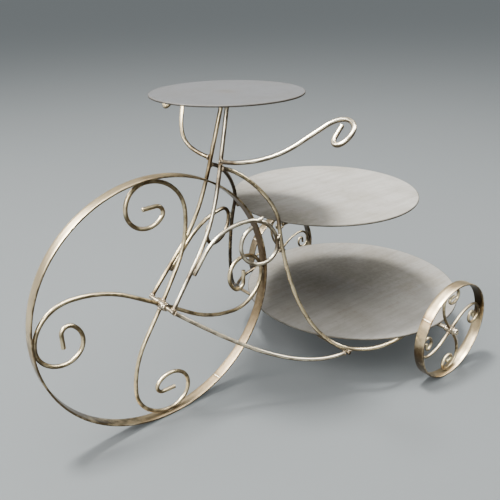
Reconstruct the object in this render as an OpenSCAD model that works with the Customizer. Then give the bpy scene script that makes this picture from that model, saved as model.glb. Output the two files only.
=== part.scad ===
// Three-tier plant stand in the shape of a tricycle: bent round rod, flat-bar wheels and three round plates.
// X runs to the rear, Y to the right-hand side and Z up, with the origin on the floor under the middle of the stand.

/* [Wheels] */
// Outer diameter of the front wheel
front_wheel_d = 400; // [370:1:430]
// Outer diameter of each rear wheel
rear_wheel_d = 176; // [150:1:200]
// Distance from the front axle back to the rear axle
wheelbase = 434; // [415:1:460]
// Width of the flat bar that the rims are rolled from
rim_w = 18; // [14:0.5:24]
// Thickness of the flat bar that the rims are rolled from
rim_t = 3; // [2:0.25:5]
// Room between the lower plate and each rear wheel
wheel_side_gap = 11; // [6:0.5:25]
// Turn of the rear spokes from upright
rear_spoke_turn = 6; // [-30:1:30]

/* [Rods and welds] */
// Diameter of the round rod of the frame and the front spokes
rod_d = 6.4; // [5:0.1:7.5]
// Diameter of the rod of the rear spokes
rear_spoke_d = 5; // [4:0.1:6]
// Gap left at a weld between two rods
weld_gap = 0.15; // [0.05:0.05:0.4]

/* [Axles and hubs] */
// Diameter of the front axle
front_axle_d = 6.4; // [5:0.1:8]
// Diameter of the rear axle
rear_axle_d = 8; // [6.4:0.1:9]
// Outer diameter of the hub tubes
hub_d = 14; // [12:0.25:18]
// Length of the front hub tube
front_hub_len = 20; // [12:0.5:26]
// Length of the rear hub tubes
rear_hub_len = 10; // [8:0.5:20]
// Radial clearance of a hub on its axle
hub_clearance = 0.05; // [0.02:0.01:0.1]
// Side play of a hub between its collars
side_play = 0.4; // [0.3:0.05:1]
// Outer diameter of the collars beside the hubs
collar_d = 12; // [11:0.25:16]
// Width of the collars beside the hubs
collar_w = 4; // [2:0.25:8]
// Width across the flats of the domed cap nuts
cap_nut_af = 13; // [12:0.5:16]
// Height of the hexagon of the cap nuts
cap_nut_h = 4.5; // [4:0.25:9]

/* [Fork and handles] */
// Distance between the fork legs at the front axle
fork_w = 62; // [52:1:76]
// Room between the front rim and each fork leg
fork_gap = 1.4; // [0.8:0.1:4]
// How far the neck lies behind the front axle
neck_x = 107.5; // [95:0.5:120]
// How far the neck lies below the top of the front wheel
neck_drop = 6; // [0:0.5:20]
// Distance between the tops of the fork legs under the top plate
leg_top_w = 11; // [9:0.5:20]
// Height of the handle welds above the neck
handle_rise = 9.5; // [6:0.5:16]
// Reach of a handle out to its scroll, measured from the leg
handle_reach = 125; // [110:1:140]
// How far back from its weld a handle's grip starts
handle_back = 34.5; // [28:0.5:42]
// How far above its weld a handle's grip starts
handle_lift = 43; // [36:0.5:50]
// Length of straight rod before the scroll at a handle's end
grip_len = 42.5; // [30:0.5:60]
// Radius where a handle's scroll starts to curl in
handle_scroll_r = 35; // [30:0.5:40]
// Roll of the right handle's scroll about its grip, in degrees, against the left one's
right_grip_roll = 19.5; // [0:0.5:25]

/* [Plates] */
// Diameter of the top plate
top_plate_d = 224; // [180:1:250]
// How far the middle of the top plate lies behind the front axle
top_plate_x = 134.5; // [125:0.5:145]
// Height of the upper face of the top plate
top_plate_h = 500; // [480:1:520]
// Diameter of the middle plate
middle_plate_d = 324; // [290:1:350]
// Height of the upper face of the middle plate
middle_plate_h = 305; // [290:1:315]
// Room between the front wheel and the middle plate
middle_plate_gap = 5; // [1.5:0.1:10]
// Diameter of the lower plate
lower_plate_d = 406; // [370:1:430]
// How far the middle of the lower plate lies ahead of the rear axle
lower_plate_lead = 13; // [0:1:30]
// Thickness of the plates' sheet metal
plate_t = 3; // [1.5:0.25:5]
// Chamfer on the plates' edges
plate_chamfer = 0.6; // [0.3:0.1:0.7]

/* [Backbones and stay] */
// Half the distance between the backbones where they hold the middle plate
backbone_half_w = 57; // [45:1:70]
// How far the low joints lie outside the edge of the lower plate
low_joint_out = 21; // [12:1:30]
// Angle of the low joints round the lower plate, from straight ahead
low_joint_angle = 43; // [38:0.5:50]
// How far the rails run inside the edge of the lower plate
rail_inset = 22; // [12:1:40]
// Radius of the bearer's bend under the middle plate
bearer_r = 52; // [35:1:60]
// How far behind the backbones the bearer runs straight
bearer_lead = 46; // [36:1:60]
// Straight length of the bearer under the middle plate
bearer_len = 150; // [80:1:180]

/* [Side scrolls] */
// Height of the left scroll's lower end on the fork leg
left_scroll_start_h = 245; // [235:1:255]
// Height at which the left scroll touches the backbone
left_scroll_weld_h = 268; // [255:1:280]
// Length of straight rod at the left scroll's lower end
left_scroll_straight = 34; // [28:1:40]
// Radius of the left scroll where it leaves the arch
left_scroll_arch_r = 47; // [38:1:54]
// Radius of the left scroll at its lowest stretch
left_scroll_low_r = 28; // [22:1:30]
// Radius of the left scroll's inner end
left_scroll_inner_r = 33.5; // [26:0.5:37]
// Turn of the left scroll's inner end, in degrees
left_scroll_turn = 156; // [135:1:160]
// Height of the right scroll's lower end on the fork leg
right_scroll_start_h = 235; // [228:1:242]
// Height at which the right scroll touches the backbone
right_scroll_weld_h = 281; // [275:1:285]
// Length of straight rod at the right scroll's lower end
right_scroll_straight = 52; // [47:1:57]
// Radius of the right scroll where it leaves the arch
right_scroll_arch_r = 16.5; // [12:0.5:20]
// Radius of the right scroll at its lowest stretch
right_scroll_low_r = 38; // [34:0.5:42]
// Radius of the right scroll's inner end
right_scroll_inner_r = 20; // [17:0.5:24]
// Turn of the right scroll's inner end, in degrees
right_scroll_turn = 140; // [130:1:155]

/* [Hidden] */
$fn = 96;

// Sides of a swept rod, and the largest turn between two of its rings
rod_sides = 8;
bend_step = 18;
// Rings along each smooth stretch of a rod
stretch_rings = 8;

rod_r = rod_d / 2;
front_axle_r = front_axle_d / 2;
rear_axle_r = rear_axle_d / 2;
front_r = front_wheel_d / 2;
rear_r = rear_wheel_d / 2;
rod_pitch = rod_d + weld_gap;

// Heights and places along the stand, measured from the front axle
front_axle_p = [0, 0, front_r];
rear_axle_p = [wheelbase, 0, rear_r];
top_plate_p = [top_plate_x, 0, top_plate_h];
middle_under = middle_plate_h - plate_t;
rim_rear_x = sqrt(front_r * front_r - pow(middle_under - front_r, 2));
middle_plate_p = [rim_rear_x + middle_plate_gap + middle_plate_d / 2, 0, middle_plate_h];
rail_h = rear_r + rear_axle_r - rod_r;
lower_plate_h = rear_r + rear_axle_r + weld_gap + plate_t;
lower_plate_p = [wheelbase - lower_plate_lead, 0, lower_plate_h];
lower_plate_chord = sqrt(pow(lower_plate_d / 2, 2) - lower_plate_lead * lower_plate_lead);
rear_wheel_y = lower_plate_chord + wheel_side_gap + rim_w / 2;
stand_rear_x = max(lower_plate_p[0] + lower_plate_d / 2, wheelbase + rear_r);
origin_shift = [(front_r - stand_rear_x) / 2, 0, 0];

// Cap nuts close the rear axle outside each hub
front_hub_end = front_hub_len / 2 + side_play;
rear_hub_end = rear_hub_len / 2 + side_play;
axle_end_y = rear_wheel_y + rear_hub_end + cap_nut_h;
cap_dome_r = cap_nut_af * 0.44;

// Colours of the two finishes
rod_colour = "#b9aa8c";
plate_colour = "#c4bfb8";

// Vector helpers
function unit(v) = v / norm(v);
function flip(path) = [for (p = path) [p[0], -p[1], p[2]]];
function tail(path) = [for (i = [1 : len(path) - 1]) path[i]];

// Smooth stretch from a to b that leaves along ta and arrives along tb, both as shares of the distance
function stretch(a, ta, b, tb, n = stretch_rings) = [
    for (i = [0 : n])
        let (t = i / n, u = 1 - t, run = norm(b - a))
        (1 + 2 * t) * u * u * a + run * t * u * u * ta + t * t * (3 - 2 * t) * b - run * t * t * u * tb
];

// Flat path of bends [radius, turn] and straights [0, length], in degrees, left turns positive
function bends(list, heading = 0, p = [0, 0], i = 0) =
    i == len(list) ? [p] :
    let (r = list[i][0], a = list[i][1], n = r == 0 ? 1 : ceil(abs(a) / bend_step), s = sign(a))
    let (step = r == 0 ? [[p, heading]] : [
        for (k = [0 : n - 1])
            let (h = heading + a * k / n)
            [p + s * r * [sin(h) - sin(heading), cos(heading) - cos(h)], h]
    ])
    let (end_heading = r == 0 ? heading : heading + a)
    let (end = r == 0 ? p + a * [cos(heading), sin(heading)] :
        p + s * r * [sin(end_heading) - sin(heading), cos(heading) - cos(end_heading)])
    concat([for (q = step) q[0]], bends(list, end_heading, end, i + 1));

// Flat path laid into space at o, with its first axis along u and its second along v
function laid(path, o, u, v) = [for (q = path) o + q[0] * u + q[1] * v];

// Point where a path that rises or falls steadily passes a height
function at_height(path, h) =
    let (k = [for (i = [0 : len(path) - 2]) if ((path[i][2] - h) * (path[i + 1][2] - h) <= 0) i][0])
    let (a = path[k], b = path[k + 1])
    a + (b - a) * (h - a[2]) / (b[2] - a[2]);

// Direction of a path at each of its points, and the side direction carried along it without twist
function tangents(path) = [
    for (i = [0 : len(path) - 1])
        unit(path[min(i + 1, len(path) - 1)] - path[max(i - 1, 0)])
];
function square_to(v, t) = unit(v - (v * t) * t);
function first_side(t) = square_to(abs(t[2]) < 0.9 ? [0, 0, 1] : [1, 0, 0], t);
function sides(t) = [
    for (i = 0, s = first_side(t[0]); i < len(t); i = i + 1, s = i < len(t) ? square_to(s, t[i]) : s) s
];

// Round rod swept along a path
module rod(path, d = rod_d) {
    t = tangents(path);
    s = sides(t);
    n = len(path);
    m = rod_sides;
    points = [
        for (i = [0 : n - 1], k = [0 : m - 1])
            path[i] + d / 2 * (cos(360 * k / m) * s[i] + sin(360 * k / m) * cross(t[i], s[i]))
    ];
    skin = [
        for (i = [0 : n - 2], k = [0 : m - 1])
            let (a = i * m + k, b = i * m + (k + 1) % m)
            each [[a, a + m, b], [b, a + m, b + m]]
    ];
    caps = [
        for (k = [1 : m - 2])
            let (e = (n - 1) * m)
            each [[0, k, k + 1], [e, e + k + 1, e + k]]
    ];
    polyhedron(points, concat(skin, caps));
}

// Places a piece that was drawn from the front axle
module placed(colour = rod_colour) {
    color(colour) translate(origin_shift) children();
}

// Fork: each leg rises from the axle, bows back to the neck and runs straight to the top plate
neck_half_w = rim_w / 2 + fork_gap + rod_r;
neck_p = [neck_x, -neck_half_w, front_wheel_d - neck_drop];
leg_foot_dir = unit([24, 3, 32]);
leg_foot_p = [0, -fork_w / 2, front_r] + (front_axle_r + 2 * weld_gap) * leg_foot_dir;
leg_top_target = [top_plate_x - rod_r / 2, -leg_top_w / 2, top_plate_h - plate_t];
leg_top_dir = unit(leg_top_target - neck_p);
leg_top_p = leg_top_target - (rod_r * norm([leg_top_dir[0], leg_top_dir[1]]) + weld_gap) * leg_top_dir;
leg_bow = 1.4;
leg_path = concat(
    stretch(leg_foot_p, leg_bow * leg_foot_dir, neck_p, leg_bow * leg_top_dir, 2 * stretch_rings),
    [leg_top_p]
);

// Handles: out from the leg's side, then back and up to a grip that ends in a leaning scroll
handle_start = [-0.293, -0.988, 0.183];
handle_p = at_height(leg_path, neck_p[2] + handle_rise) + (rod_r + 2 * weld_gap) * unit(handle_start);
grip_dir = unit([52, -63, 57.5]);
grip_turn_dir = square_to([-14.2, -19.8, -8.4], grip_dir);
grip_p = handle_p + [handle_back, -handle_reach, handle_lift];
curl_r = handle_scroll_r * [1, 0.557, 0.3, 0.357];
curl_end = 0.543 * handle_scroll_r;
handle_scroll = [[0, grip_len], [curl_r[0], 90], [curl_r[1], 90], [curl_r[2], 60], [curl_r[3], 73], [0, curl_end]];
function handle_path(roll) =
    let (turn_dir = cos(roll) * grip_turn_dir + sin(roll) * cross(grip_dir, grip_turn_dir))
    concat(
        stretch(handle_p, handle_start, grip_p, 1.125 * grip_dir, 2 * stretch_rings),
        tail(laid(bends(handle_scroll), grip_p, grip_dir, turn_dir))
    );

// Backbones: from the neck out round the middle plate, down to the low joint, then back as rails to the rear axle
backbone_start = [0.771, -0.244, -0.162];
backbone_top = at_height(leg_path, neck_p[2]) + (rod_r + 3 * weld_gap) * unit(backbone_start);
plate_weld_r = middle_plate_d / 2 + rod_r + weld_gap;
plate_weld = [
    middle_plate_p[0] - sqrt(plate_weld_r * plate_weld_r - backbone_half_w * backbone_half_w),
    -backbone_half_w,
    middle_plate_h - plate_t / 2
];
low_joint_r = lower_plate_d / 2 + low_joint_out;
low_joint = [
    lower_plate_p[0] - low_joint_r * cos(low_joint_angle), -low_joint_r * sin(low_joint_angle), rail_h
];
rail_y = -(lower_plate_d / 2 - rail_inset);
rail_start = [0.6 * low_joint[0] + 0.4 * wheelbase, 1.017 * rail_y, rail_h];
rail_end = [wheelbase - rear_axle_r - weld_gap, rail_y, rail_h];
backbone_path = concat(
    stretch(backbone_top, backbone_start, plate_weld, [-0.057, -0.203, -0.771]),
    tail(stretch(plate_weld, [-0.061, -0.203, -0.812], low_joint, [0.772, -0.67, -0.203], 10)),
    tail(stretch(low_joint, [0.968, -0.904, -0.129], rail_start, [1.033, -0.077, 0], 6)),
    tail(stretch(rail_start, [0.589, 0, 0], rail_end, [0.589, 0, 0], 4))
);

// Side scrolls: up along the leg, over an arch and round into a curl that touches the backbone
// Each was bent by hand: lower end, touch, first heading, straight, three radii, last turn,
// then which side of the backbone it touches, inner for the left one and outer for the right one
left_scroll = [
    left_scroll_start_h, left_scroll_weld_h, 59, left_scroll_straight,
    left_scroll_arch_r, left_scroll_low_r, left_scroll_inner_r, left_scroll_turn, 0.61
];
right_scroll = [
    right_scroll_start_h, right_scroll_weld_h, 38, right_scroll_straight,
    right_scroll_arch_r, right_scroll_low_r, right_scroll_inner_r, right_scroll_turn, -0.61
];
scroll_foot = (rod_pitch + weld_gap) * [0.8, -0.2, -0.64];
function scroll_path(s) =
    let (foot = at_height(leg_path, s[0] - scroll_foot[2]) + scroll_foot)
    let (touch = at_height(backbone_path, s[1]) + (rod_pitch + 4 * weld_gap) * unit([-0.79, s[8], 0]))
    let (run = [touch[0] - foot[0], touch[1] - foot[1], 0])
    let (rise_r = (norm(run) - s[3] * cos(s[2]) - s[4]) / sin(s[2]))
    let (moves = [[0, s[3]], [rise_r, -s[2]], [s[4], -90], [s[5], -90], [s[6], -s[7]]])
    laid(bends(moves, s[2]), foot, unit(run), [0, 0, 1]);

// Stay: one rod on the left side, from the front axle down to the crossbar at the low joint
crossbar_p = low_joint + (rod_pitch + 2 * weld_gap) * [-0.5, 0, -0.87];
stay_dir = unit([33, -14, -28]);
stay_top = [0, -fork_w / 2, front_r] + (front_axle_r + rod_r * 0.35 + 2 * weld_gap) * stay_dir;
stay_end = crossbar_p + [-rod_pitch, rod_r, 0];
stay_path = stretch(stay_top, 1.362 * stay_dir, stay_end, [0.749, -0.306, 0.187], 2 * stretch_rings);

// Bearer: a hairpin under the middle plate, welded to both backbones
bearer_h = middle_under - rod_r - weld_gap;
bearer_front = at_height(backbone_path, bearer_h) + [rod_pitch, 0, 0];
bearer_p = [bearer_front[0] + bearer_lead, -bearer_r, bearer_h];
bearer_half = concat(
    stretch(bearer_front, [0.862, 0, 0], bearer_p, [0.862, 0, 0], 5),
    tail(laid(bends([[0, bearer_len], [bearer_r, 90]]), bearer_p, [1, 0, 0], [0, 1, 0]))
);
bearer_back = flip([for (i = [len(bearer_half) - 2 : -1 : 0]) bearer_half[i]]);

// Scroll spoke of a wheel, drawn about one unit long and brought to the wheel's own reach
spoke_heading = 31.8;
spoke_drawn = bends([
    [0, 0.304], [0.84, -31.8], [0.299, -90], [0.1856, -90], [0.16, -140], [0.0567, -130], [0, 0.108]
], spoke_heading);
spoke_drawn_reach = max([for (q = spoke_drawn) norm(q)]);
// Turns of the front spokes as set by hand: front, lower, rear, upper
front_spoke_turns = [0, -89, 182, 88.5];
function spoke_path(wheel_r, d) =
    let (reach = wheel_r - rim_t - d / 2 - weld_gap)
    let (root = (hub_d / 2 + weld_gap) * [cos(spoke_heading), sin(spoke_heading)])
    concat([root], reach / spoke_drawn_reach * tail(spoke_drawn));

module spoke(p, wheel_r, d, turn, hand) {
    placed() translate(p) rotate([90, turn, 0]) mirror([1, 0, 0]) mirror([0, hand, 0])
        rod([for (q = spoke_path(wheel_r, d)) [q[0], q[1], 0]], d);
}

module rim(p, wheel_r) {
    placed() translate(p) rotate([90, 0, 0]) difference() {
        cylinder(r = wheel_r, h = rim_w, center = true);
        cylinder(r = wheel_r - rim_t, h = rim_w + 1, center = true);
    }
}

module hub(p, axle_r, hub_len) {
    placed() translate(p) rotate([90, 0, 0]) difference() {
        cylinder(d = hub_d, h = hub_len, center = true);
        cylinder(r = axle_r + hub_clearance, h = hub_len + 1, center = true);
    }
}

module collar(p, axle_r) {
    translate(p) rotate([90, 0, 0]) difference() {
        cylinder(d = collar_d, h = collar_w, center = true);
        cylinder(r = axle_r + hub_clearance, h = collar_w + 1, center = true);
    }
}

module axle(p, axle_r, half_len) {
    placed() translate(p) rotate([90, 0, 0]) cylinder(r = axle_r, h = 2 * half_len, center = true);
}

module cap_nut() {
    difference() {
        union() {
            cylinder(d = cap_nut_af / cos(30), h = cap_nut_h, $fn = 6);
            translate([0, 0, cap_nut_h]) intersection() {
                sphere(r = cap_dome_r);
                translate([0, 0, cap_dome_r - 1]) cube(2 * cap_dome_r, center = true);
            }
        }
        translate([0, 0, -1]) cylinder(r = rear_axle_r + hub_clearance, h = cap_nut_h + 1 + hub_clearance);
    }
}

// Round plate of sheet metal, its upper face at the height of p
module plate(p, d) {
    r = d / 2;
    c = plate_chamfer;
    placed(plate_colour) translate(p) rotate_extrude() polygon([
        [0, -plate_t], [r - c, -plate_t], [r, c - plate_t], [r, -c], [r - c, 0], [0, 0]
    ]);
}

rear_left_p = rear_axle_p - [0, rear_wheel_y, 0];
rear_right_p = rear_axle_p + [0, rear_wheel_y, 0];

module fork_leg_left() { placed() rod(leg_path); }
module fork_leg_right() { placed() rod(flip(leg_path)); }
module handle_left() { placed() rod(handle_path(0)); }
module handle_right() { placed() rod(flip(handle_path(right_grip_roll))); }
module backbone_left() { placed() rod(backbone_path); }
module backbone_right() { placed() rod(flip(backbone_path)); }
module side_scroll_left() { placed() rod(scroll_path(left_scroll)); }
module side_scroll_right() { placed() rod(flip(scroll_path(right_scroll))); }
module stay_left() { placed() rod(stay_path); }
module front_crossbar() {
    placed() translate([crossbar_p[0], 0, crossbar_p[2]]) rotate([90, 0, 0])
        cylinder(r = rod_r, h = 2 * rod_r - 2 * crossbar_p[1], center = true);
}
module middle_plate_bearer() { placed() rod(concat(bearer_half, bearer_back)); }
module top_plate() { plate(top_plate_p, top_plate_d); }
module middle_plate() { plate(middle_plate_p, middle_plate_d); }
module lower_plate() { plate(lower_plate_p, lower_plate_d); }
module front_axle() { axle(front_axle_p, front_axle_r, fork_w / 2 + rod_r); }
module front_collars() {
    placed() for (s = [-1, 1]) collar(front_axle_p + [0, s * (front_hub_end + collar_w / 2), 0], front_axle_r);
}
module rear_axle() { axle(rear_axle_p, rear_axle_r, axle_end_y); }
module rear_collars() {
    collar_y = rear_wheel_y - rear_hub_end - collar_w / 2;
    placed() for (s = [-1, 1]) collar(rear_axle_p + [0, s * collar_y, 0], rear_axle_r);
}
module rear_cap_nuts() {
    placed() for (s = [-1, 1])
        translate(rear_axle_p + [0, s * (rear_wheel_y + rear_hub_end), 0]) rotate([-s * 90, 0, 0]) cap_nut();
}
module front_rim() { rim(front_axle_p, front_r); }
module front_hub() { hub(front_axle_p, front_axle_r, front_hub_len); }
module front_spoke_front() { spoke(front_axle_p, front_r, rod_d, front_spoke_turns[0], 0); }
module front_spoke_lower() { spoke(front_axle_p, front_r, rod_d, front_spoke_turns[1], 0); }
module front_spoke_rear() { spoke(front_axle_p, front_r, rod_d, front_spoke_turns[2], 0); }
module front_spoke_upper() { spoke(front_axle_p, front_r, rod_d, front_spoke_turns[3], 0); }
module rear_left_rim() { rim(rear_left_p, rear_r); }
module rear_left_hub() { hub(rear_left_p, rear_axle_r, rear_hub_len); }
module rear_left_spoke_front() { spoke(rear_left_p, rear_r, rear_spoke_d, -rear_spoke_turn, 1); }
module rear_left_spoke_lower() { spoke(rear_left_p, rear_r, rear_spoke_d, -rear_spoke_turn - 90, 1); }
module rear_left_spoke_rear() { spoke(rear_left_p, rear_r, rear_spoke_d, -rear_spoke_turn + 180, 1); }
module rear_left_spoke_upper() { spoke(rear_left_p, rear_r, rear_spoke_d, -rear_spoke_turn + 90, 1); }
module rear_right_rim() { rim(rear_right_p, rear_r); }
module rear_right_hub() { hub(rear_right_p, rear_axle_r, rear_hub_len); }
module rear_right_spoke_front() { spoke(rear_right_p, rear_r, rear_spoke_d, -rear_spoke_turn, 1); }
module rear_right_spoke_lower() { spoke(rear_right_p, rear_r, rear_spoke_d, -rear_spoke_turn - 90, 1); }
module rear_right_spoke_rear() { spoke(rear_right_p, rear_r, rear_spoke_d, -rear_spoke_turn + 180, 1); }
module rear_right_spoke_upper() { spoke(rear_right_p, rear_r, rear_spoke_d, -rear_spoke_turn + 90, 1); }

fork_leg_left();
fork_leg_right();
handle_left();
handle_right();
backbone_left();
backbone_right();
side_scroll_left();
side_scroll_right();
stay_left();
front_crossbar();
middle_plate_bearer();
top_plate();
middle_plate();
lower_plate();
front_axle();
front_collars();
rear_axle();
rear_collars();
rear_cap_nuts();
front_rim();
front_hub();
front_spoke_front();
front_spoke_lower();
front_spoke_rear();
front_spoke_upper();
rear_left_rim();
rear_left_hub();
rear_left_spoke_front();
rear_left_spoke_lower();
rear_left_spoke_rear();
rear_left_spoke_upper();
rear_right_rim();
rear_right_hub();
rear_right_spoke_front();
rear_right_spoke_lower();
rear_right_spoke_rear();
rear_right_spoke_upper();
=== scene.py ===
"""Looks of a three-tier plant stand in the shape of a tricycle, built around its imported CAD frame.

The stand's sizes are in millimetres, measured from the front axle as in the CAD source: X to the rear, Y to
the right-hand side, Z up from the floor. Meshes are moved into the frame's own metres as they are made.
"""

import logging
import math
from dataclasses import dataclass, field, replace
from enum import Enum
from typing import Dict, List, Optional, Sequence, Tuple

import bpy
import numpy as np
from mathutils import Matrix, Vector


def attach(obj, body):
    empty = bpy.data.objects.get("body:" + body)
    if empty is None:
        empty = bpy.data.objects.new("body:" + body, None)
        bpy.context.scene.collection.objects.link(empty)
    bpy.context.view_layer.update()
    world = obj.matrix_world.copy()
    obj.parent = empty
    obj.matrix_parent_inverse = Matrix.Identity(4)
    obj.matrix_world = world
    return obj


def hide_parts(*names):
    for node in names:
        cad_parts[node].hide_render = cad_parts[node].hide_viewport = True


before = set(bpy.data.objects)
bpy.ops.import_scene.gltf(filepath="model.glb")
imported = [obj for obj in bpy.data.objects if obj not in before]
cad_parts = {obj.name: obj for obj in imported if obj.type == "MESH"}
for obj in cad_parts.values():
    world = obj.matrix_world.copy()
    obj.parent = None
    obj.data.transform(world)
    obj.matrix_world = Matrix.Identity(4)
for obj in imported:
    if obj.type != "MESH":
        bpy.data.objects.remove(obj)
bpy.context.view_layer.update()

LOG = logging.getLogger("plant_stand")

Array = np.ndarray
Pairs = Sequence[Tuple[float, float]]
Triple = Tuple[float, float, float]
Colour = Triple
Waves = Sequence[Triple]
Inputs = Dict[object, object]
Socket = bpy.types.NodeSocket
Sockets = bpy.types.bpy_prop_collection

MM = 0.001
FRONT_AXLE_X = -212.0
# Mask of weld marks and of painted shade: the painted shadow on the lower plate, the plate edges, the front
# rim's inner face, the right scroll's arch and part of the middle plate's marks.
HEAT_AND_SHADE = "weld_heat_and_shade"
UP = np.array([0.0, 0.0, 1.0])
ACROSS = np.array([0.0, 1.0, 0.0])
# Faces turned towards this direction keep the pale lacquer; faces turned away take painted shade.
PAINTED_LIGHT_FROM = (-0.5, -0.3, 0.81)

# Unevenness as sine waves: size, pace and share of the seed.
ROD_WAVES: Waves = ((0.006, 0.11, 1.0), (0.0036, 0.29, 2.1), (0.0024, 0.67, 3.7))
RIM_WAVES: Waves = ((0.036, 3, 0.7), (0.018, 7, 1.9), (0.012, 23, 0.0))
SEAM_WAVES: Waves = ((0.13, 2.2, 1), (0.08, 1.1, 2))
LUMP_WAVES: Waves = ((0.16, 9, 1), (0.14, 4, 2), (0.1, 15, 1))


class Body(Enum):
    """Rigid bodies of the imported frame."""

    FRAME = "frame"
    FRONT_WHEEL = "front_wheel"
    REAR_LEFT_WHEEL = "rear_left_wheel"
    REAR_RIGHT_WHEEL = "rear_right_wheel"


class Slot(Enum):
    """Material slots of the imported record."""

    RODS = "rods"
    RIMS = "rims"
    PLATES = "plates"
    FITTINGS = "fittings"


class Glow(Enum):
    """What a light shows on."""

    ALL = "all"
    SHINE = "shine"
    MATT = "matt"


class Side(Enum):
    """Sides of the stand, with the sign of Y on each."""

    LEFT = -1
    RIGHT = 1


@dataclass(frozen=True)
class StandSizes:
    """Sizes that several sub-assemblies share."""

    front_r: float = 200.0
    rear_r: float = 88.0
    wheelbase: float = 434.0
    rim_w: float = 18.0
    rim_t: float = 3.0
    rod_r: float = 3.2
    rear_spoke_r: float = 2.5
    weld_gap: float = 0.15
    front_axle_r: float = 3.2
    rear_axle_r: float = 4.0
    hub_r: float = 7.0
    front_hub_len: float = 20.0
    rear_hub_len: float = 10.0
    side_play: float = 0.4
    fork_w: float = 62.0
    plate_t: float = 3.0
    top_plate_r: float = 112.0
    top_plate_x: float = 134.5
    top_plate_h: float = 500.0
    middle_plate_r: float = 162.0
    middle_plate_h: float = 305.0
    middle_plate_gap: float = 5.0
    lower_plate_r: float = 203.0
    lower_plate_lead: float = 13.0
    wheel_side_gap: float = 11.0

    @property
    def rod_pitch(self) -> float:
        """Distance between the middles of two rods welded side by side."""
        return 2 * self.rod_r + self.weld_gap

    @property
    def middle_under(self) -> float:
        """Height of the middle plate's lower face."""
        return self.middle_plate_h - self.plate_t

    @property
    def middle_plate_x(self) -> float:
        """Middle of the middle plate, set clear of the front wheel."""
        rim_x = math.sqrt(self.front_r**2 - (self.middle_under - self.front_r) ** 2)
        return rim_x + self.middle_plate_gap + self.middle_plate_r

    @property
    def lower_plate_x(self) -> float:
        """Middle of the lower plate."""
        return self.wheelbase - self.lower_plate_lead

    @property
    def lower_plate_h(self) -> float:
        """Height of the lower plate's upper face."""
        return self.rear_r + self.rear_axle_r + self.weld_gap + self.plate_t

    @property
    def rear_wheel_y(self) -> float:
        """Distance of each rear wheel from the middle of the stand."""
        chord = math.sqrt(self.lower_plate_r**2 - self.lower_plate_lead**2)
        return chord + self.wheel_side_gap + self.rim_w / 2

    @property
    def rail_h(self) -> float:
        """Height of the rails' middle, level with the top of the rear axle."""
        return self.rear_r + self.rear_axle_r - self.rod_r


SIZES = StandSizes()


def vec(*values: float) -> Array:
    """A vector of floats."""
    return np.array(values, float)


def unit(v: Array) -> Array:
    """The vector's direction."""
    return v / np.linalg.norm(v)


def fixed(*values: float) -> Array:
    """A dataclass field that holds a vector."""
    return field(default_factory=lambda: vec(*values))


def direction(*values: float) -> Array:
    """A dataclass field that holds a vector's direction."""
    return field(default_factory=lambda: unit(vec(*values)))


def square_to(v: Array, t: Array) -> Array:
    """The part of v that is square to the direction t, as a direction."""
    return unit(v - (v @ t) * t)


def any_side(t: Array) -> Array:
    """A direction square to t, upwards unless t is steep."""
    return square_to(UP if abs(t[2]) < 0.9 else vec(1, 0, 0), t)


def mirrored(path: Array, side: Side) -> Array:
    """A path, point or direction drawn for the left side, brought to the given side."""
    return path if side is Side.LEFT else path * vec(1, -1, 1)


def round_angles(steps: int) -> Array:
    """Even steps once round a circle, in radians."""
    return np.linspace(0, 2 * math.pi, steps, endpoint=False)


def oval(angles: Array, u: Array, v: Array) -> Array:
    """Points round an oval whose half-axes are u and v."""
    return np.cos(angles)[:, None] * u + np.sin(angles)[:, None] * v


def uneven(x: Array, waves: Waves, seed: float = 1.0) -> Array:
    """Slow repeatable unevenness at each x, for hand-worked metal."""
    return sum(size * np.sin(pace * x + share * seed) for size, pace, share in waves)


def stretch(a: Array, ta: Array, b: Array, tb: Array, n: int = 40) -> Array:
    """Smooth stretch of rod between two points.

    Args:
        a: First point.
        ta: Tangent that it leaves along, as a share of the distance.
        b: Last point.
        tb: Tangent that it arrives along, as a share of the distance.
        n: Number of steps.

    Returns:
        The points of the stretch, both ends included.
    """
    t = np.linspace(0, 1, n + 1)[:, None]
    u = 1 - t
    run = np.linalg.norm(b - a)
    return (1 + 2 * t) * u * u * a + run * t * u * u * ta + t * t * (3 - 2 * t) * b - run * t * t * u * tb


def bends(moves: Pairs, heading: float = 0.0, step: float = 6.0) -> Array:
    """Flat path of bends and straights.

    Args:
        moves: Pairs of (radius, turn in degrees), or (0, length) for a straight; left turns are positive.
        heading: Direction of the first move in degrees.
        step: Largest turn between two points in degrees.

    Returns:
        The points of the path in its own plane.
    """
    points = [vec(0, 0)]
    for radius, amount in moves:
        p = points[-1]
        h0 = math.radians(heading)
        if radius == 0:
            points.append(p + amount * vec(math.cos(h0), math.sin(h0)))
            continue
        arm = math.copysign(radius, amount)
        n = math.ceil(abs(amount) / step)
        for k in range(1, n + 1):
            h = h0 + math.radians(amount) * k / n
            points.append(p + arm * vec(math.sin(h) - math.sin(h0), math.cos(h0) - math.cos(h)))
        heading += amount
    return np.array(points)


def laid(path: Array, origin: Array, u: Array, v: Array) -> Array:
    """A flat path laid into space at an origin, with its axes along u and v."""
    return origin + path[:, :1] * u + path[:, 1:2] * v


def joined(*paths: Array) -> Array:
    """Paths that follow on from each other, with each shared point kept once."""
    return np.vstack([paths[0]] + [p[1:] for p in paths[1:]])


def at_height(path: Array, height: float) -> Array:
    """Point where a path first passes a height.

    Args:
        path: Points of the path.
        height: Height to find.

    Returns:
        The point, between two of the path's own.
    """
    z = path[:, 2] - height
    k = int(np.nonzero(z[:-1] * z[1:] <= 0)[0][0])
    return path[k] + (path[k + 1] - path[k]) * z[k] / (z[k] - z[k + 1])


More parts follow.
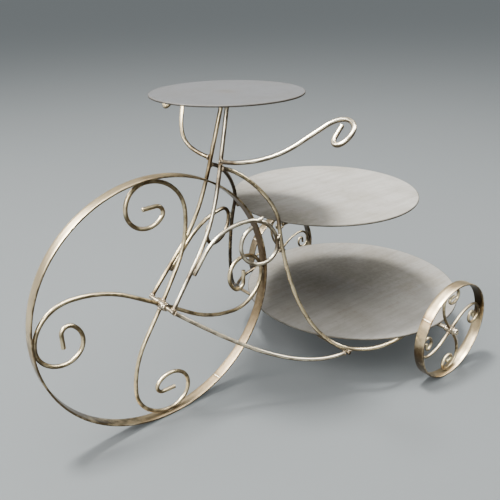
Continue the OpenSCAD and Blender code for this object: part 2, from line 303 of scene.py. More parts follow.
def filled_in(path: Array, longest: float) -> Array:
    """A path with points added along its steps.

    Args:
        path: Points of the path.
        longest: Length that no step may pass.

    Returns:
        The path's own points and those added between them.
    """
    out = [path[0]]
    for a, b in zip(path[:-1], path[1:]):
        n = max(1, math.ceil(np.linalg.norm(b - a) / longest))
        out.extend(a + (b - a) * k / n for k in range(1, n + 1))
    return np.array(out)


def nearest(path: Array, point: Array) -> Array:
    """Point of a path that lies nearest to the given point."""
    fine = filled_in(path, 0.5)
    return fine[int(np.argmin(np.linalg.norm(fine - point, axis=1)))]


def opaque(colour: Colour) -> Tuple[float, ...]:
    """A colour with full alpha."""
    return (*colour, 1.0)


@dataclass(frozen=True)
class Bead:
    """Size of a short weld seam, and the number that sets its ripples."""

    length: float
    width: float
    seed: float


class Shape:
    """Vertices and faces in millimetres, gathered for one mesh. Each method gives the shape itself."""

    def __init__(self) -> None:
        """Starts empty."""
        self.points: List[Array] = []
        self.faces: List[Tuple[int, ...]] = []
        self.count = 0

    def skin(self, rows: Array, closed_rows: bool = False) -> "Shape":
        """Adds a grid of rings as a skin.

        Args:
            rows: Points as (ring, place round the ring, xyz).
            closed_rows: Whether the last ring joins the first; otherwise the ends are capped.

        Returns:
            The shape.
        """
        n, m = rows.shape[:2]
        index = self.count + np.arange(n * m).reshape(n, m)
        for i in range(n if closed_rows else n - 1):
            here, there = index[i], index[(i + 1) % n]
            corners = (here, np.roll(here, -1), np.roll(there, -1), there)
            self.faces.extend(zip(*(c.tolist() for c in corners)))
        if not closed_rows:
            self.faces.append(tuple(index[0, ::-1].tolist()))
            self.faces.append(tuple(index[-1].tolist()))
        self.points.append(rows.reshape(-1, 3))
        self.count += n * m
        return self

    def rod(self, path: Array, radius: float, seed: float, sides: int = 16, chamfer: float = 0.5) -> "Shape":
        """Adds a round rod along a path, with softened ends and slight hand-worked unevenness.

        Args:
            path: Middle line of the rod.
            radius: Radius of the rod.
            seed: Number that sets the unevenness.
            sides: Number of sides of the skin.
            chamfer: Size of the softened edge at each end.

        Returns:
            The shape.
        """
        path = filled_in(path, 5.0)
        t = np.gradient(path, axis=0)
        t /= np.linalg.norm(t, axis=1)[:, None]
        run = np.concatenate([[0], np.cumsum(np.linalg.norm(np.diff(path, axis=0), axis=1))])
        radii = radius * (1 + uneven(run, ROD_WAVES, seed))
        angles = round_angles(sides)
        side = any_side(t[0])
        rings = []
        for along in t:
            side = square_to(side, along)
            rings.append(oval(angles, side, np.cross(along, side)))
        rows = path[:, None] + radii[:, None, None] * np.array(rings)
        first, last = (path[i] + (radii[i] - chamfer) * rings[i] for i in (0, -1))
        rows[0] += chamfer * t[0]
        rows[-1] -= chamfer * t[-1]
        return self.skin(np.concatenate([[first], rows, [last]]))

    def turned(self, profile: Pairs, centre: Array, segments: int, waves: Waves = ()) -> "Shape":
        """Adds a ring turned about an axis along Y.

        Args:
            profile: Points (radius, place along Y) of the closed section, counter-clockwise.
            centre: Middle of the ring.
            segments: Number of steps round the axis.
            waves: Unevenness of the radius round the ring.

        Returns:
            The shape.
        """
        a = round_angles(segments)
        r, y = np.array(profile).T[:, :, None]
        radius = r + uneven(a, waves)
        rows = centre + np.stack([radius * np.cos(a), y + 0 * a, radius * np.sin(a)], axis=2)
        return self.skin(rows, closed_rows=True)

    def seam(self, centre: Array, along: Array, out: Array, bead: Bead) -> "Shape":
        """Adds a short rippled weld seam.

        Args:
            centre: Middle of the seam.
            along: Direction that the seam runs.
            out: Direction that the seam stands out.
            bead: Size of the seam.

        Returns:
            The shape.
        """
        along = unit(along)
        out = square_to(out, along)
        side = np.cross(along, out)
        u = np.linspace(0.02, 0.98, 17)
        v = round_angles(12)
        swell = np.power(1 - (2 * u - 1) ** 2, 0.4) * (1 + uneven(u * bead.length, SEAM_WAVES, bead.seed))
        shift = 0.12 * bead.width * np.sin(u * 5 + bead.seed)
        middles = centre + np.outer((u - 0.5) * bead.length, along) + np.outer(shift, side)
        rows = [p + oval(v, 0.5 * w * side, 0.42 * w * out) for p, w in zip(middles, swell * bead.width)]
        return self.skin(np.array(rows))

    def tack(self, point: Array, path: Array, along: Array, bead: Bead) -> "Shape":
        """Adds a seam on each side of the line where a rod touches another.

        Args:
            point: Middle of the first rod at the touch.
            path: Middle line of the other rod.
            along: Direction of the first rod at the touch.
            bead: Size of each seam.

        Returns:
            The shape.
        """
        half = 0.5 * (nearest(path, point) - point)
        across = unit(np.cross(along, half))
        for sign in (1, -1):
            out = sign * across
            ripples = replace(bead, seed=bead.seed + sign)
            self.seam(point + half + 0.45 * bead.width * out, along, out, ripples)
        return self

    def collar_weld(self, centre: Array, axis: Array, radius: float, thick: float, seed: float) -> "Shape":
        """Adds a lumpy weld right round the end of a rod.

        Args:
            centre: Middle of the ring.
            axis: Direction of the rod.
            radius: Radius of the ring's middle line.
            thick: Thickness of the weld metal.
            seed: Number that sets the lumps.

        Returns:
            The shape.
        """
        axis = unit(axis)
        side = any_side(axis)
        a, v = round_angles(36), round_angles(10)
        rays = oval(a, side, np.cross(axis, side))
        widths = thick * (1 + uneven(a, LUMP_WAVES, seed))
        tubes = [radius * ray + oval(v, 0.5 * w * ray, 0.62 * w * axis) for ray, w in zip(rays, widths)]
        return self.skin(centre + np.array(tubes), closed_rows=True)


class Nodes:
    """A node tree with short ways to add and join nodes."""

    def __init__(self, tree: bpy.types.NodeTree) -> None:
        """Wraps a tree."""
        self.tree = tree

    def fill(self, socket: Socket, value: object) -> None:
        """Links an input to another socket, or sets its plain value.

        Args:
            socket: Input to fill.
            value: Output to link from, or the value itself.
        """
        if isinstance(value, Socket):
            self.tree.links.new(value, socket)
        else:
            socket.default_value = value

    def add(self, kind: str, inputs: Optional[Inputs] = None, **settings: object) -> bpy.types.Node:
        """Adds a node.

        Args:
            kind: Type of the node.
            inputs: Sockets or plain values, by the name or number of the input that they fill.
            settings: Properties of the node.

        Returns:
            The node.
        """
        node = self.tree.nodes.new(kind)
        for name, value in settings.items():
            setattr(node, name, value)
        for key, value in (inputs or {}).items():
            self.fill(node.inputs[key], value)
        return node

    def place(self) -> Socket:
        """Coordinates on the piece itself."""
        return self.add("ShaderNodeTexCoord").outputs["Object"]

    def noise(self, where: object, scale: object, detail: float, rough: float = 0.55) -> Socket:
        """Value of a noise texture at the given coordinates."""
        inputs = {"Vector": where, "Scale": scale, "Detail": detail, "Roughness": rough}
        return self.add("ShaderNodeTexNoise", inputs).outputs["Fac"]

    def spread(self, value: object, low: float, high: float, to: Sequence[float] = (0, 1)) -> Socket:
        """A value mapped smoothly from one range to another."""
        inputs = {"Value": value, "From Min": low, "From Max": high, "To Min": to[0], "To Max": to[1]}
        return self.add("ShaderNodeMapRange", inputs, interpolation_type="SMOOTHSTEP").outputs[0]

    def maths(self, operation: str, a: object, b: object) -> Socket:
        """Result of a sum on sockets or numbers."""
        return self.add("ShaderNodeMath", {0: a, 1: b}, operation=operation).outputs[0]

    def vector_maths(self, operation: str, a: object, b: object) -> bpy.types.Node:
        """Adds a sum on two vectors."""
        return self.add("ShaderNodeVectorMath", {0: a, 1: b}, operation=operation)

    def mix(self, share: object, a: object, b: object) -> Socket:
        """Mix of two colours."""
        return self.add("ShaderNodeMix", {0: share, 6: a, 7: b}, data_type="RGBA").outputs[2]


class Effects:
    """Shader node groups that more than one finish uses, each built once."""

    COLOUR, NUMBER, VECTOR = "NodeSocketColor", "NodeSocketFloat", "NodeSocketVector"
    TINT = {"Color": COLOUR, "Mask": NUMBER}

    def __init__(self) -> None:
        """Builds every group."""
        self.mottle = self._mottle()
        self.painted_facing_shade = self._painted_facing_shade()
        self.heat_and_shade = self._heat_and_shade_mark()
        self.brushing = self._brushing()

    @staticmethod
    def _group(name: str, takes: Dict[str, str], gives: Dict[str, str]) -> Tuple[Nodes, Sockets, Sockets]:
        """Starts a group with named sockets.

        Args:
            name: Name of the group.
            takes: Name and type of each input.
            gives: Name and type of each output.

        Returns:
            The group's nodes, the sockets that bring its inputs and those that take its outputs.
        """
        n = Nodes(bpy.data.node_groups.new(name, "ShaderNodeTree"))
        for in_out, sockets in (("INPUT", takes), ("OUTPUT", gives)):
            for label, kind in sockets.items():
                n.tree.interface.new_socket(name=label, in_out=in_out, socket_type=kind)
        return n, n.add("NodeGroupInput").outputs, n.add("NodeGroupOutput").inputs

    @staticmethod
    def _tinted(n: Nodes, outs: Sockets, mask: Socket, plain: Socket, marked: Socket) -> bpy.types.NodeTree:
        """Ends a group with a mix of two colours and the mask that made it.

        Args:
            n: Nodes of the group.
            outs: Sockets that take the group's outputs.
            mask: Share of the marked colour.
            plain: Colour where the mask is empty.
            marked: Colour where the mask is full.

        Returns:
            The group.
        """
        n.fill(outs["Color"], n.mix(mask, plain, marked))
        n.fill(outs["Mask"], mask)
        return n.tree

    def _mottle(self) -> bpy.types.NodeTree:
        """Uneven lacquer: broad clouds and fine specks between a light and a dark tone.

        Returns:
            The group, with a colour and the mask that made it.
        """
        takes = {"Light": self.COLOUR, "Dark": self.COLOUR, "Scale": self.NUMBER, "Amount": self.NUMBER}
        n, ins, outs = self._group("uneven_lacquer", takes, self.TINT)
        where = n.place()
        clouds = n.spread(n.noise(where, ins["Scale"], 4), 0.36, 0.68)
        specks = n.spread(n.noise(where, n.maths("MULTIPLY", ins["Scale"], 9.0), 5, 0.65), 0.5, 0.72)
        both = n.maths("ADD", n.maths("MULTIPLY", clouds, 0.75), n.maths("MULTIPLY", specks, 0.4))
        mask = n.maths("MULTIPLY", both, ins["Amount"])
        return self._tinted(n, outs, mask, ins["Light"], ins["Dark"])

    def _heat_and_shade_mark(self) -> bpy.types.NodeTree:
        """Brown weld marks that fade away from each weld, and painted shade where the mask is set for it.

        Returns:
            The group, with a colour and the mark's mask.
        """
        takes = {"Color": self.COLOUR, "Scorch": self.COLOUR, "Strength": self.NUMBER}
        n, ins, outs = self._group("heat_and_shade_mark", takes, self.TINT)
        patchy = n.spread(n.noise(n.place(), 140, 3), 0.3, 0.7, (0.88, 1.0))
        near = n.add("ShaderNodeAttribute", attribute_name=HEAT_AND_SHADE).outputs["Fac"]
        mask = n.maths("MULTIPLY", n.maths("MULTIPLY", near, patchy), ins["Strength"])
        return self._tinted(n, outs, mask, ins["Color"], ins["Scorch"])

    def _painted_facing_shade(self) -> bpy.types.NodeTree:
        """Painted light and shade by facing: faces turned towards the light from above and in front keep the
        pale colour, faces turned away take a brown painted shade.

        Returns:
            The group, with a colour and the mask of the painted shade.
        """
        takes = {"Color": self.COLOUR, "Ground": self.COLOUR, "Amount": self.NUMBER}
        n, ins, outs = self._group("painted_shade_by_facing", takes, self.TINT)
        normal = n.add("ShaderNodeTexCoord").outputs["Normal"]
        facing = n.vector_maths("DOT_PRODUCT", normal, PAINTED_LIGHT_FROM).outputs["Value"]
        patchy = n.spread(n.noise(n.place(), 60, 4), 0.3, 0.7, (-0.18, 0.18))
        facing_shade_amount = n.spread(n.maths("ADD", facing, patchy), 0.68, 0.22)
        mask = n.maths("MULTIPLY", facing_shade_amount, ins["Amount"])
        return self._tinted(n, outs, mask, ins["Color"], ins["Ground"])

    def _brushing(self) -> bpy.types.NodeTree:
        """Fine streaks along X and shallow dents, as a height and a mask.

        Returns:
            The group.
        """
        takes = {"Stretch": self.VECTOR, "Scale": self.NUMBER}
        n, ins, outs = self._group("brushed_streaks", takes, {"Height": self.NUMBER, "Mask": self.NUMBER})
        where = n.place()
        drawn = n.vector_maths("MULTIPLY", where, ins["Stretch"]).outputs[0]
        streaks = n.noise(drawn, ins["Scale"], 6, 0.6)
        dents = n.noise(where, 26, 2)
        n.fill(outs["Height"], n.maths("ADD", n.maths("MULTIPLY", streaks, 0.35), dents))
        n.fill(outs["Mask"], n.spread(streaks, 0.38, 0.66))
        return n.tree


@dataclass(frozen=True)
class Lacquer:
    """Antique metal lacquer: its tones, how metallic and smooth it is, and how uneven.

    The bump's depth is in metres and the scales are per metre, as the shader takes them.
    """

    name: str
    light: Colour
    dark: Colour
    # Colour of the painted shade on faces turned away from the light.
    ground: Colour
    # Colour of weld marks, and of painted shade where the mark mask holds it.
    scorch: Colour
    smooth: float
    mottle_amount: float
    bump: float
    rough: float = 0.42
    metallic: float = 0.92
    mottle_scale: float = 26
    heat_and_shade_strength: float = 0.97
    streak_stretch: Triple = (1, 1, 1)
    streak_scale: float = 160
    bump_depth: float = 0.0006
    # Share of painted shade on faces turned fully away from the light.
    facing_shade_amount: float = 0.92
    streak_tone: float = 0.0
    gloss: float = 0.5

    def material(self, effects: Effects) -> bpy.types.Material:
        """Builds the lacquer's material.

        Args:
            effects: The shared node groups.

        Returns:
            The material.
        """
        made = bpy.data.materials.new(self.name)
        made.use_nodes = True
        made.diffuse_color = opaque(self.light)
        n = Nodes(made.node_tree)

        def effect(tree: bpy.types.NodeTree, **inputs: object) -> Sockets:
            """Adds a shared effect and gives its outputs."""
            return n.add("ShaderNodeGroup", inputs, node_tree=tree).outputs

        tones = {"Light": opaque(self.light), "Dark": opaque(self.dark)}
        mottle = effect(effects.mottle, **tones, Scale=self.mottle_scale, Amount=self.mottle_amount)
        brushed = effect(effects.brushing, Stretch=self.streak_stretch, Scale=self.streak_scale)
        colour = mottle["Color"]
        if self.streak_tone:
            share = n.maths("MULTIPLY", brushed["Mask"], self.streak_tone)
            colour = n.mix(share, colour, opaque(self.dark))
        # Painted shade on faces turned away from the light, over the mottled colour.
        facing_shaded = effect(effects.painted_facing_shade, Color=colour, Ground=opaque(self.ground), Amount=self.facing_shade_amount)
        scorch = opaque(self.scorch)
        heat_and_shade = effect(effects.heat_and_shade, Color=facing_shaded["Color"], Scorch=scorch, Strength=self.heat_and_shade_strength)
        worn = n.maths("ADD", mottle["Mask"], heat_and_shade["Mask"])
        bump = {"Strength": self.bump, "Distance": self.bump_depth, "Height": brushed["Height"]}
        surface = {
            "Base Color": heat_and_shade["Color"],
            "Roughness": n.spread(worn, 0.0, 1.2, (self.smooth, self.rough)),
            "Normal": n.add("ShaderNodeBump", bump).outputs["Normal"],
            "Metallic": self.metallic,
            "Specular IOR Level": self.gloss,
        }
        for name, value in surface.items():
            n.fill(made.node_tree.nodes["Principled BSDF"].inputs[name], value)
        return made


class Finish(Enum):
    """Finishes of the stand."""

    ROD = Lacquer(
        "champagne_rod", light=(0.92, 0.77, 0.48), dark=(0.55, 0.4, 0.2), ground=(0.07, 0.043, 0.017),
        scorch=(0.05, 0.026, 0.01), smooth=0.3, mottle_amount=0.32, bump=0.06,
    )
    # Lighter copy of the rod lacquer: painted light on the left fork leg and handle, the left side scroll and
    # the stay.
    PAINTED_LIGHT_ROD = Lacquer(
        "painted_light_rod", light=(0.97, 0.88, 0.68), dark=(0.66, 0.5, 0.28), ground=(0.075, 0.046, 0.018),
        scorch=(0.05, 0.026, 0.01), smooth=0.28, mottle_amount=0.35, bump=0.08,
    )
    # Darker, less metallic copy of the rod lacquer: painted half shade on the left backbone and the right
    # rear spokes.
    PAINTED_HALF_SHADE_ROD = Lacquer(
        "painted_half_shade_rod", light=(0.9, 0.76, 0.48), dark=(0.5, 0.37, 0.19), ground=(0.06, 0.038, 0.018),
        scorch=(0.035, 0.018, 0.007), smooth=0.24, rough=0.4, metallic=0.7, mottle_amount=0.5, bump=0.1,
    )
    # Dark copy of the rod lacquer: painted shade on the right backbone, the crossbar and the right rear rim.
    SHADED_ROD = Lacquer(
        "dark_rod", light=(0.4, 0.32, 0.2), dark=(0.19, 0.135, 0.072), ground=(0.035, 0.022, 0.01),
        scorch=(0.03, 0.016, 0.006), smooth=0.26, metallic=0.7, mottle_amount=0.6, bump=0.1, facing_shade_amount=0.95,
    )
    # The colour of its weld marks also serves as painted shade on the front rim's inner face.
    RIM = Lacquer(
        "champagne_rim", light=(0.86, 0.7, 0.44), dark=(0.42, 0.31, 0.16), ground=(0.08, 0.053, 0.027),
        scorch=(0.1, 0.058, 0.025), smooth=0.31, rough=0.45, mottle_scale=18, mottle_amount=0.5, bump=0.14,
        heat_and_shade_strength=0.95, streak_stretch=(1, 0.15, 1), streak_scale=120, bump_depth=0.0008, facing_shade_amount=0.95,
    )
    WELD = Lacquer(
        "lacquered_weld", light=(0.85, 0.76, 0.58), dark=(0.4, 0.3, 0.17), ground=(0.06, 0.038, 0.018),
        scorch=(0.15, 0.09, 0.038), smooth=0.3, rough=0.5, mottle_scale=60, mottle_amount=0.6, bump=0.3,
        metallic=0.75, heat_and_shade_strength=0.75, streak_scale=300, facing_shade_amount=0.6,
    )
    # The colour of its weld marks also serves as the painted shadow on the lower plate and painted shade
    # along the plate edges.
    PLATE = Lacquer(
        "satin_plate", light=(0.55, 0.535, 0.495), dark=(0.31, 0.28, 0.225), ground=(0.06, 0.048, 0.036),
        scorch=(0.055, 0.046, 0.024), smooth=0.5, rough=0.68, mottle_scale=14, mottle_amount=0.62, bump=0.16,
        metallic=0.1, heat_and_shade_strength=0.86, streak_stretch=(0.09, 1, 1), streak_scale=110, bump_depth=0.0012,
        facing_shade_amount=0.95, streak_tone=0.32, gloss=0.2,
    )
    # Darker, cooler copy of the plate lacquer: painted shade on the top plate.
    TOP_PLATE = Lacquer(
        "satin_top_plate", light=(0.158, 0.163, 0.171), dark=(0.11, 0.108, 0.1), ground=(0.06, 0.048, 0.036),
        scorch=(0.1, 0.08, 0.05), smooth=0.5, rough=0.68, mottle_scale=18, mottle_amount=0.5, bump=0.16,
        metallic=0.2, heat_and_shade_strength=0.5, streak_stretch=(0.09, 1, 1), streak_scale=110, bump_depth=0.0012,
        facing_shade_amount=0.95, streak_tone=0.2, gloss=0.2,
    )
    FITTING = Lacquer(
        "champagne_fitting", light=(0.7, 0.61, 0.46), dark=(0.3, 0.22, 0.12), ground=(0.08, 0.053, 0.027),
        scorch=(0.045, 0.024, 0.01), smooth=0.22, mottle_scale=50, mottle_amount=0.5, bump=0.12,
        metallic=0.8, heat_and_shade_strength=0.7, streak_scale=240, bump_depth=0.0004, facing_shade_amount=0.7,
    )


class Paints:
    """Materials of the stand, built once and found by finish."""

    def __init__(self) -> None:
        """Builds the shared effects and every finish."""
        effects = Effects()
        self._made = {finish: finish.value.material(effects) for finish in Finish}

    def __getitem__(self, finish: Finish) -> bpy.types.Material:
        """The material of a finish."""
        return self._made[finish]


@dataclass
class Piece:
    """One visible piece: its finish, what it stands for, where welding has marked it and where shade is
    painted on it, and where it rides.
    """

    name: str
    finish: Finish
    replaces: Sequence[str] = ()
    heat_and_shade: Sequence[Array] = ()
    heat_and_shade_reach: float = 10.0
    slot: Slot = Slot.RODS
    body: Body = Body.FRAME
    sharp_angle: float = 35.0
    least_painted_shade: Optional[Array] = None

    def make(self, shape: Shape, paints: Paints) -> None:
        """Turns a shape into the piece's object, riding on its body.

        Args:
            shape: The piece's surfaces in millimetres.
            paints: Materials of the stand.
        """
        points = np.vstack(shape.points)
        mesh = bpy.data.meshes.new(self.name)
        mesh.from_pydata(((points + vec(FRONT_AXLE_X, 0, 0)) * MM).tolist(), [], shape.faces)
        mesh.validate()
        # The least value is painted shade; weld marks and painted shade spots are added over it.
        heat_and_shade = np.zeros(len(points)) if self.least_painted_shade is None else self.least_painted_shade
        for spot in self.heat_and_shade:
            far = np.linalg.norm(points - spot, axis=1) / self.heat_and_shade_reach
            heat_and_shade = np.maximum(heat_and_shade, np.exp(-far * far))
        mesh.attributes.new(HEAT_AND_SHADE, "FLOAT", "POINT").data.foreach_set("value", heat_and_shade.astype(np.float32))
        mesh.shade_smooth()
        mesh.set_sharp_from_angle(angle=math.radians(self.sharp_angle))
        mesh.materials.append(paints[self.finish])
        made = bpy.data.objects.new(self.name, mesh)
        bpy.context.scene.collection.objects.link(made)
        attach(made, self.body.value)
        if self.replaces:
            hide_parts(*self.replaces)
        LOG.info("%s: %d faces on %s", self.name, len(mesh.polygons), self.body.value)


@dataclass
class Fork:
    """Fork legs and handles, which meet at the neck."""

    paints: Paints
    gap: float = 1.4
    neck_x: float = 107.5
    neck_drop: float = 6.0
    top_w: float = 11.0
    bow: float = 1.4
    handle_rise: float = 9.5
    handle_reach: float = 125.0
    handle_back: float = 34.5
    handle_lift: float = 43.0
    grip_len: float = 42.5
    grip_pull: float = 1.125
    right_grip_roll: float = 19.5
    scroll_weld_h: float = 246.0
    foot_dir: Array = direction(24, 3, 32)
    handle_start: Array = fixed(-0.293, -0.988, 0.183)
    grip_dir: Array = direction(52, -63, 57.5)
    grip_lean: Array = fixed(-14.2, -19.8, -8.4)
    grip_scroll: Pairs = ((35, 90), (19.5, 90), (10.5, 60), (12.5, 73), (0, 19))
    browned_handle: Sequence[int] = (0, 6, 11)
    browned_neck: Sequence[Triple] = ((2, 0, 6), (-4, 0, -20))
    heat_and_shade_reach: float = 19.0

    @property
    def neck(self) -> Array:
        """Middle of the left leg at the neck."""
        y = -(SIZES.rim_w / 2 + self.gap + SIZES.rod_r)
        return vec(self.neck_x, y, 2 * SIZES.front_r - self.neck_drop)

    @property
    def axle_end(self) -> Array:
        """Point on the front axle that the left leg is welded to."""
        return vec(0, -SIZES.fork_w / 2, SIZES.front_r)

    def leg_path(self) -> Array:
        """Middle line of the left leg.

        Returns:
            The points of the leg, from the axle to the top plate.
        """
        foot = self.axle_end + (SIZES.front_axle_r + 2 * SIZES.weld_gap) * self.foot_dir
        plate_x = SIZES.top_plate_x - SIZES.rod_r / 2
        target = vec(plate_x, -self.top_w / 2, SIZES.top_plate_h - SIZES.plate_t)
        top_dir = unit(target - self.neck)
        top = target - (SIZES.rod_r * np.linalg.norm(top_dir[:2]) + SIZES.weld_gap) * top_dir
        leg = stretch(foot, self.bow * self.foot_dir, self.neck, self.bow * top_dir, 60)
        return joined(leg, np.array([self.neck, top]))

    def handle_path(self, roll: float) -> Array:
        """Middle line of a handle, drawn on the left side.

        Args:
            roll: Roll of the scroll about the grip in degrees.

        Returns:
            The points of the handle, from the leg to the end of its scroll.
        """
        start = at_height(self.leg_path(), self.neck[2] + self.handle_rise)
        start = start + (SIZES.rod_r + 2 * SIZES.weld_gap) * unit(self.handle_start)
        grip = start + vec(self.handle_back, -self.handle_reach, self.handle_lift)
        scroll = bends(((0, self.grip_len), *self.grip_scroll))
        lean = square_to(self.grip_lean, self.grip_dir)
        a = math.radians(roll)
        lean = math.cos(a) * lean + math.sin(a) * np.cross(self.grip_dir, lean)
        return joined(
            stretch(start, self.handle_start, grip, self.grip_pull * self.grip_dir, 44),
            laid(scroll, grip, self.grip_dir, lean),
        )

    def build(self) -> None:
        """Builds both legs, both handles and their welds."""
        leg = self.leg_path()
        for side in Side:
            name = side.name.lower()
            # The left leg and handle take the copy of the lacquer with painted light.
            finish = Finish.PAINTED_LIGHT_ROD if side is Side.LEFT else Finish.ROD
            handle = self.handle_path(0.0 if side is Side.LEFT else self.right_grip_roll)
            marks = [leg[0], leg[-1], at_height(leg, self.scroll_weld_h)]
            marks += [handle[k] for k in self.browned_handle]
            marks += [self.neck + vec(*away) for away in self.browned_neck]
            spots = [mirrored(mark, side) for mark in marks]
            for label, path, seed in (("fork_leg", leg, 1.3), ("handle", handle, 2.9)):
                node = f"{label}_{name}"
                bar = Shape().rod(mirrored(path, side), SIZES.rod_r, seed + side.value)
                Piece(node + "_bar", finish, [node], spots, self.heat_and_shade_reach).make(bar, self.paints)
            welds = Shape()
            for end, along, lift, thick, seed in (
                (handle[0], handle[1] - handle[0], 0.6, 2.6, 1.0),
                (leg[0], self.foot_dir, 0.4, 2.2, 2.0),
                (leg[-1], leg[-1] - leg[-2], 0.0, 2.4, 3.0),
            ):
                centre = mirrored(end + lift * unit(along), side)
                welds.collar_weld(centre, mirrored(along, side), SIZES.rod_r, thick, seed)
            Piece(f"fork_welds_{name}", Finish.WELD, (), spots).make(welds, self.paints)


@dataclass(frozen=True)
class ScrollBend:
    """How one side scroll was bent: its ends, first run, three radii, last turn and side of the backbone."""

    start_h: float
    weld_h: float
    heading: float
    straight: float
    arch_r: float
    low_r: float
    inner_r: float
    turn: float
    beside: float


@dataclass
class Undercarriage:
    """Backbones, side scrolls, stay, crossbar and the bearer under the middle plate.

    The pulls are the tangents of each rod at its ends and welds, as shares of the stretch that they bend.
    """

    paints: Paints
    fork: Fork
    half_w: float = 57.0
    joint_out: float = 21.0
    joint_angle: float = 43.0
    rail_inset: float = 22.0
    rail_share: float = 0.4
    rail_bulge: float = 1.017
    crossbar_dir: Array = fixed(-0.5, 0, -0.87)
    joint_face: Array = fixed(0.87, 0, -0.5)
    start_pull: Array = fixed(0.771, -0.244, -0.162)
    plate_pulls: Tuple[Triple, Triple] = ((-0.057, -0.203, -0.771), (-0.061, -0.203, -0.812))
    joint_pulls: Tuple[Triple, Triple] = ((0.772, -0.67, -0.203), (0.968, -0.904, -0.129))
    rail_pulls: Tuple[Triple, Triple] = ((1.033, -0.077, 0), (0.589, 0, 0))
    left_scroll: ScrollBend = ScrollBend(245, 268, 59, 34, 47, 28, 33.5, 156, 0.61)
    right_scroll: ScrollBend = ScrollBend(235, 281, 38, 52, 16.5, 38, 20, 140, -0.61)
    scroll_foot: Array = fixed(0.8, -0.2, -0.64)
    # Points of the right scroll's arch that take painted shade: start, stop and step.
    painted_shade_right_scroll: Tuple[int, int, int] = (9, 56, 3)
    bearer_r: float = 52.0
    bearer_lead: float = 46.0
    bearer_len: float = 150.0
    bearer_pull: Triple = (0.862, 0, 0)
    stay_dir: Array = direction(33, -14, -28)
    stay_seat: float = 0.35
    stay_bow: float = 1.362
    stay_end_pull: Triple = (0.749, -0.306, 0.187)
    stray_bead_at: Array = fixed(150, -54, 313)
    stray_bead_rise: float = 1.2
    stray_bead: Bead = Bead(10, 7.5, 5.0)
    bridge_rise: float = 13.0
    bridge_out: float = 0.6
    bridge_front: Array = fixed(-0.5, -0.8, 0.3)
    bridge_bead: Bead = Bead(10, 5.0, 6.0)
    touch_bead: Bead = Bead(11, 2.8, 1.0)
    foot_bead: Bead = Bead(11, 2.6, 4.0)
    foot_bead_up: float = 5.0
    plate_bead: Bead = Bead(9, 3.0, 2.0)
    plate_bead_drop: float = 2.2
    edge_bead: Bead = Bead(5, 2.2, 3.0)
    edge_bead_in: float = 2.4
    joint_bead_len: float = 8.0
    joint_bead_w: float = 2.6
    joint_bead_out: float = 2.4
    heat_and_shade_reach: float = 14.0

    @property
    def plate_weld(self) -> Array:
        """Weld of the left backbone to the middle plate's edge.

        Returns:
            The middle of the rod at the weld.
        """
        reach = SIZES.middle_plate_r + SIZES.rod_r + SIZES.weld_gap
        x = SIZES.middle_plate_x - math.sqrt(reach**2 - self.half_w**2)
        return vec(x, -self.half_w, SIZES.middle_plate_h - SIZES.plate_t / 2)

    @property
    def low_joint(self) -> Array:
        """Joint of the left backbone with the crossbar.

        Returns:
            The middle of the backbone over the crossbar.
        """
        reach = SIZES.lower_plate_r + self.joint_out
        a = math.radians(self.joint_angle)
        return vec(SIZES.lower_plate_x - reach * math.cos(a), -reach * math.sin(a), SIZES.rail_h)

    @property
    def crossbar_end(self) -> Array:
        """Middle of the crossbar under the left backbone."""
        return self.low_joint + (SIZES.rod_pitch + 2 * SIZES.weld_gap) * self.crossbar_dir

    def backbone_path(self) -> Array:
        """Middle line of the left backbone.

        Returns:
            The points of the backbone, from the neck to the rear axle.
        """
        top = at_height(self.fork.leg_path(), self.fork.neck[2])
        top = top + (SIZES.rod_r + 3 * SIZES.weld_gap) * unit(self.start_pull)
        rail_y = -(SIZES.lower_plate_r - self.rail_inset)
        rail_x = (1 - self.rail_share) * self.low_joint[0] + self.rail_share * SIZES.wheelbase
        rail = vec(rail_x, self.rail_bulge * rail_y, SIZES.rail_h)
        end = vec(SIZES.wheelbase - SIZES.rear_axle_r - SIZES.weld_gap, rail_y, SIZES.rail_h)
        return joined(
            stretch(top, self.start_pull, self.plate_weld, self.plate_pulls[0]),
            stretch(self.plate_weld, self.plate_pulls[1], self.low_joint, self.joint_pulls[0], 56),
            stretch(self.low_joint, self.joint_pulls[1], rail, self.rail_pulls[0], 30),
            stretch(rail, self.rail_pulls[1], end, self.rail_pulls[1], 24),
        )

    def scroll_path(self, bend: ScrollBend) -> Array:
        """Middle line of a side scroll, drawn on the left side.

        Args:
            bend: How the scroll was bent.

        Returns:
            The points of the scroll, from the leg to its inner end.
        """
        beside = (SIZES.rod_pitch + SIZES.weld_gap) * self.scroll_foot
        foot = at_height(self.fork.leg_path(), bend.start_h - beside[2]) + beside
        touch = at_height(self.backbone_path(), bend.weld_h)
        touch = touch + (SIZES.rod_pitch + 4 * SIZES.weld_gap) * unit(vec(-0.79, bend.beside, 0))
        run = (touch - foot) * vec(1, 1, 0)
        a = math.radians(bend.heading)
        rise = (np.linalg.norm(run) - bend.straight * math.cos(a) - bend.arch_r) / math.sin(a)
        moves = ((0, bend.straight), (rise, -bend.heading), (bend.arch_r, -90), (bend.low_r, -90))
        return laid(bends((*moves, (bend.inner_r, -bend.turn)), bend.heading), foot, unit(run), UP)

    def stay_path(self) -> Array:
        """Middle line of the stay on the left side.

        Returns:
            The points of the stay, from the front axle to the crossbar.
        """
        top = self.fork.axle_end
        seat = SIZES.front_axle_r + self.stay_seat * SIZES.rod_r + 2 * SIZES.weld_gap
        top = top + seat * self.stay_dir
        end = self.crossbar_end + vec(-SIZES.rod_pitch, SIZES.rod_r, 0)
        return stretch(top, self.stay_bow * self.stay_dir, end, self.stay_end_pull, 60)

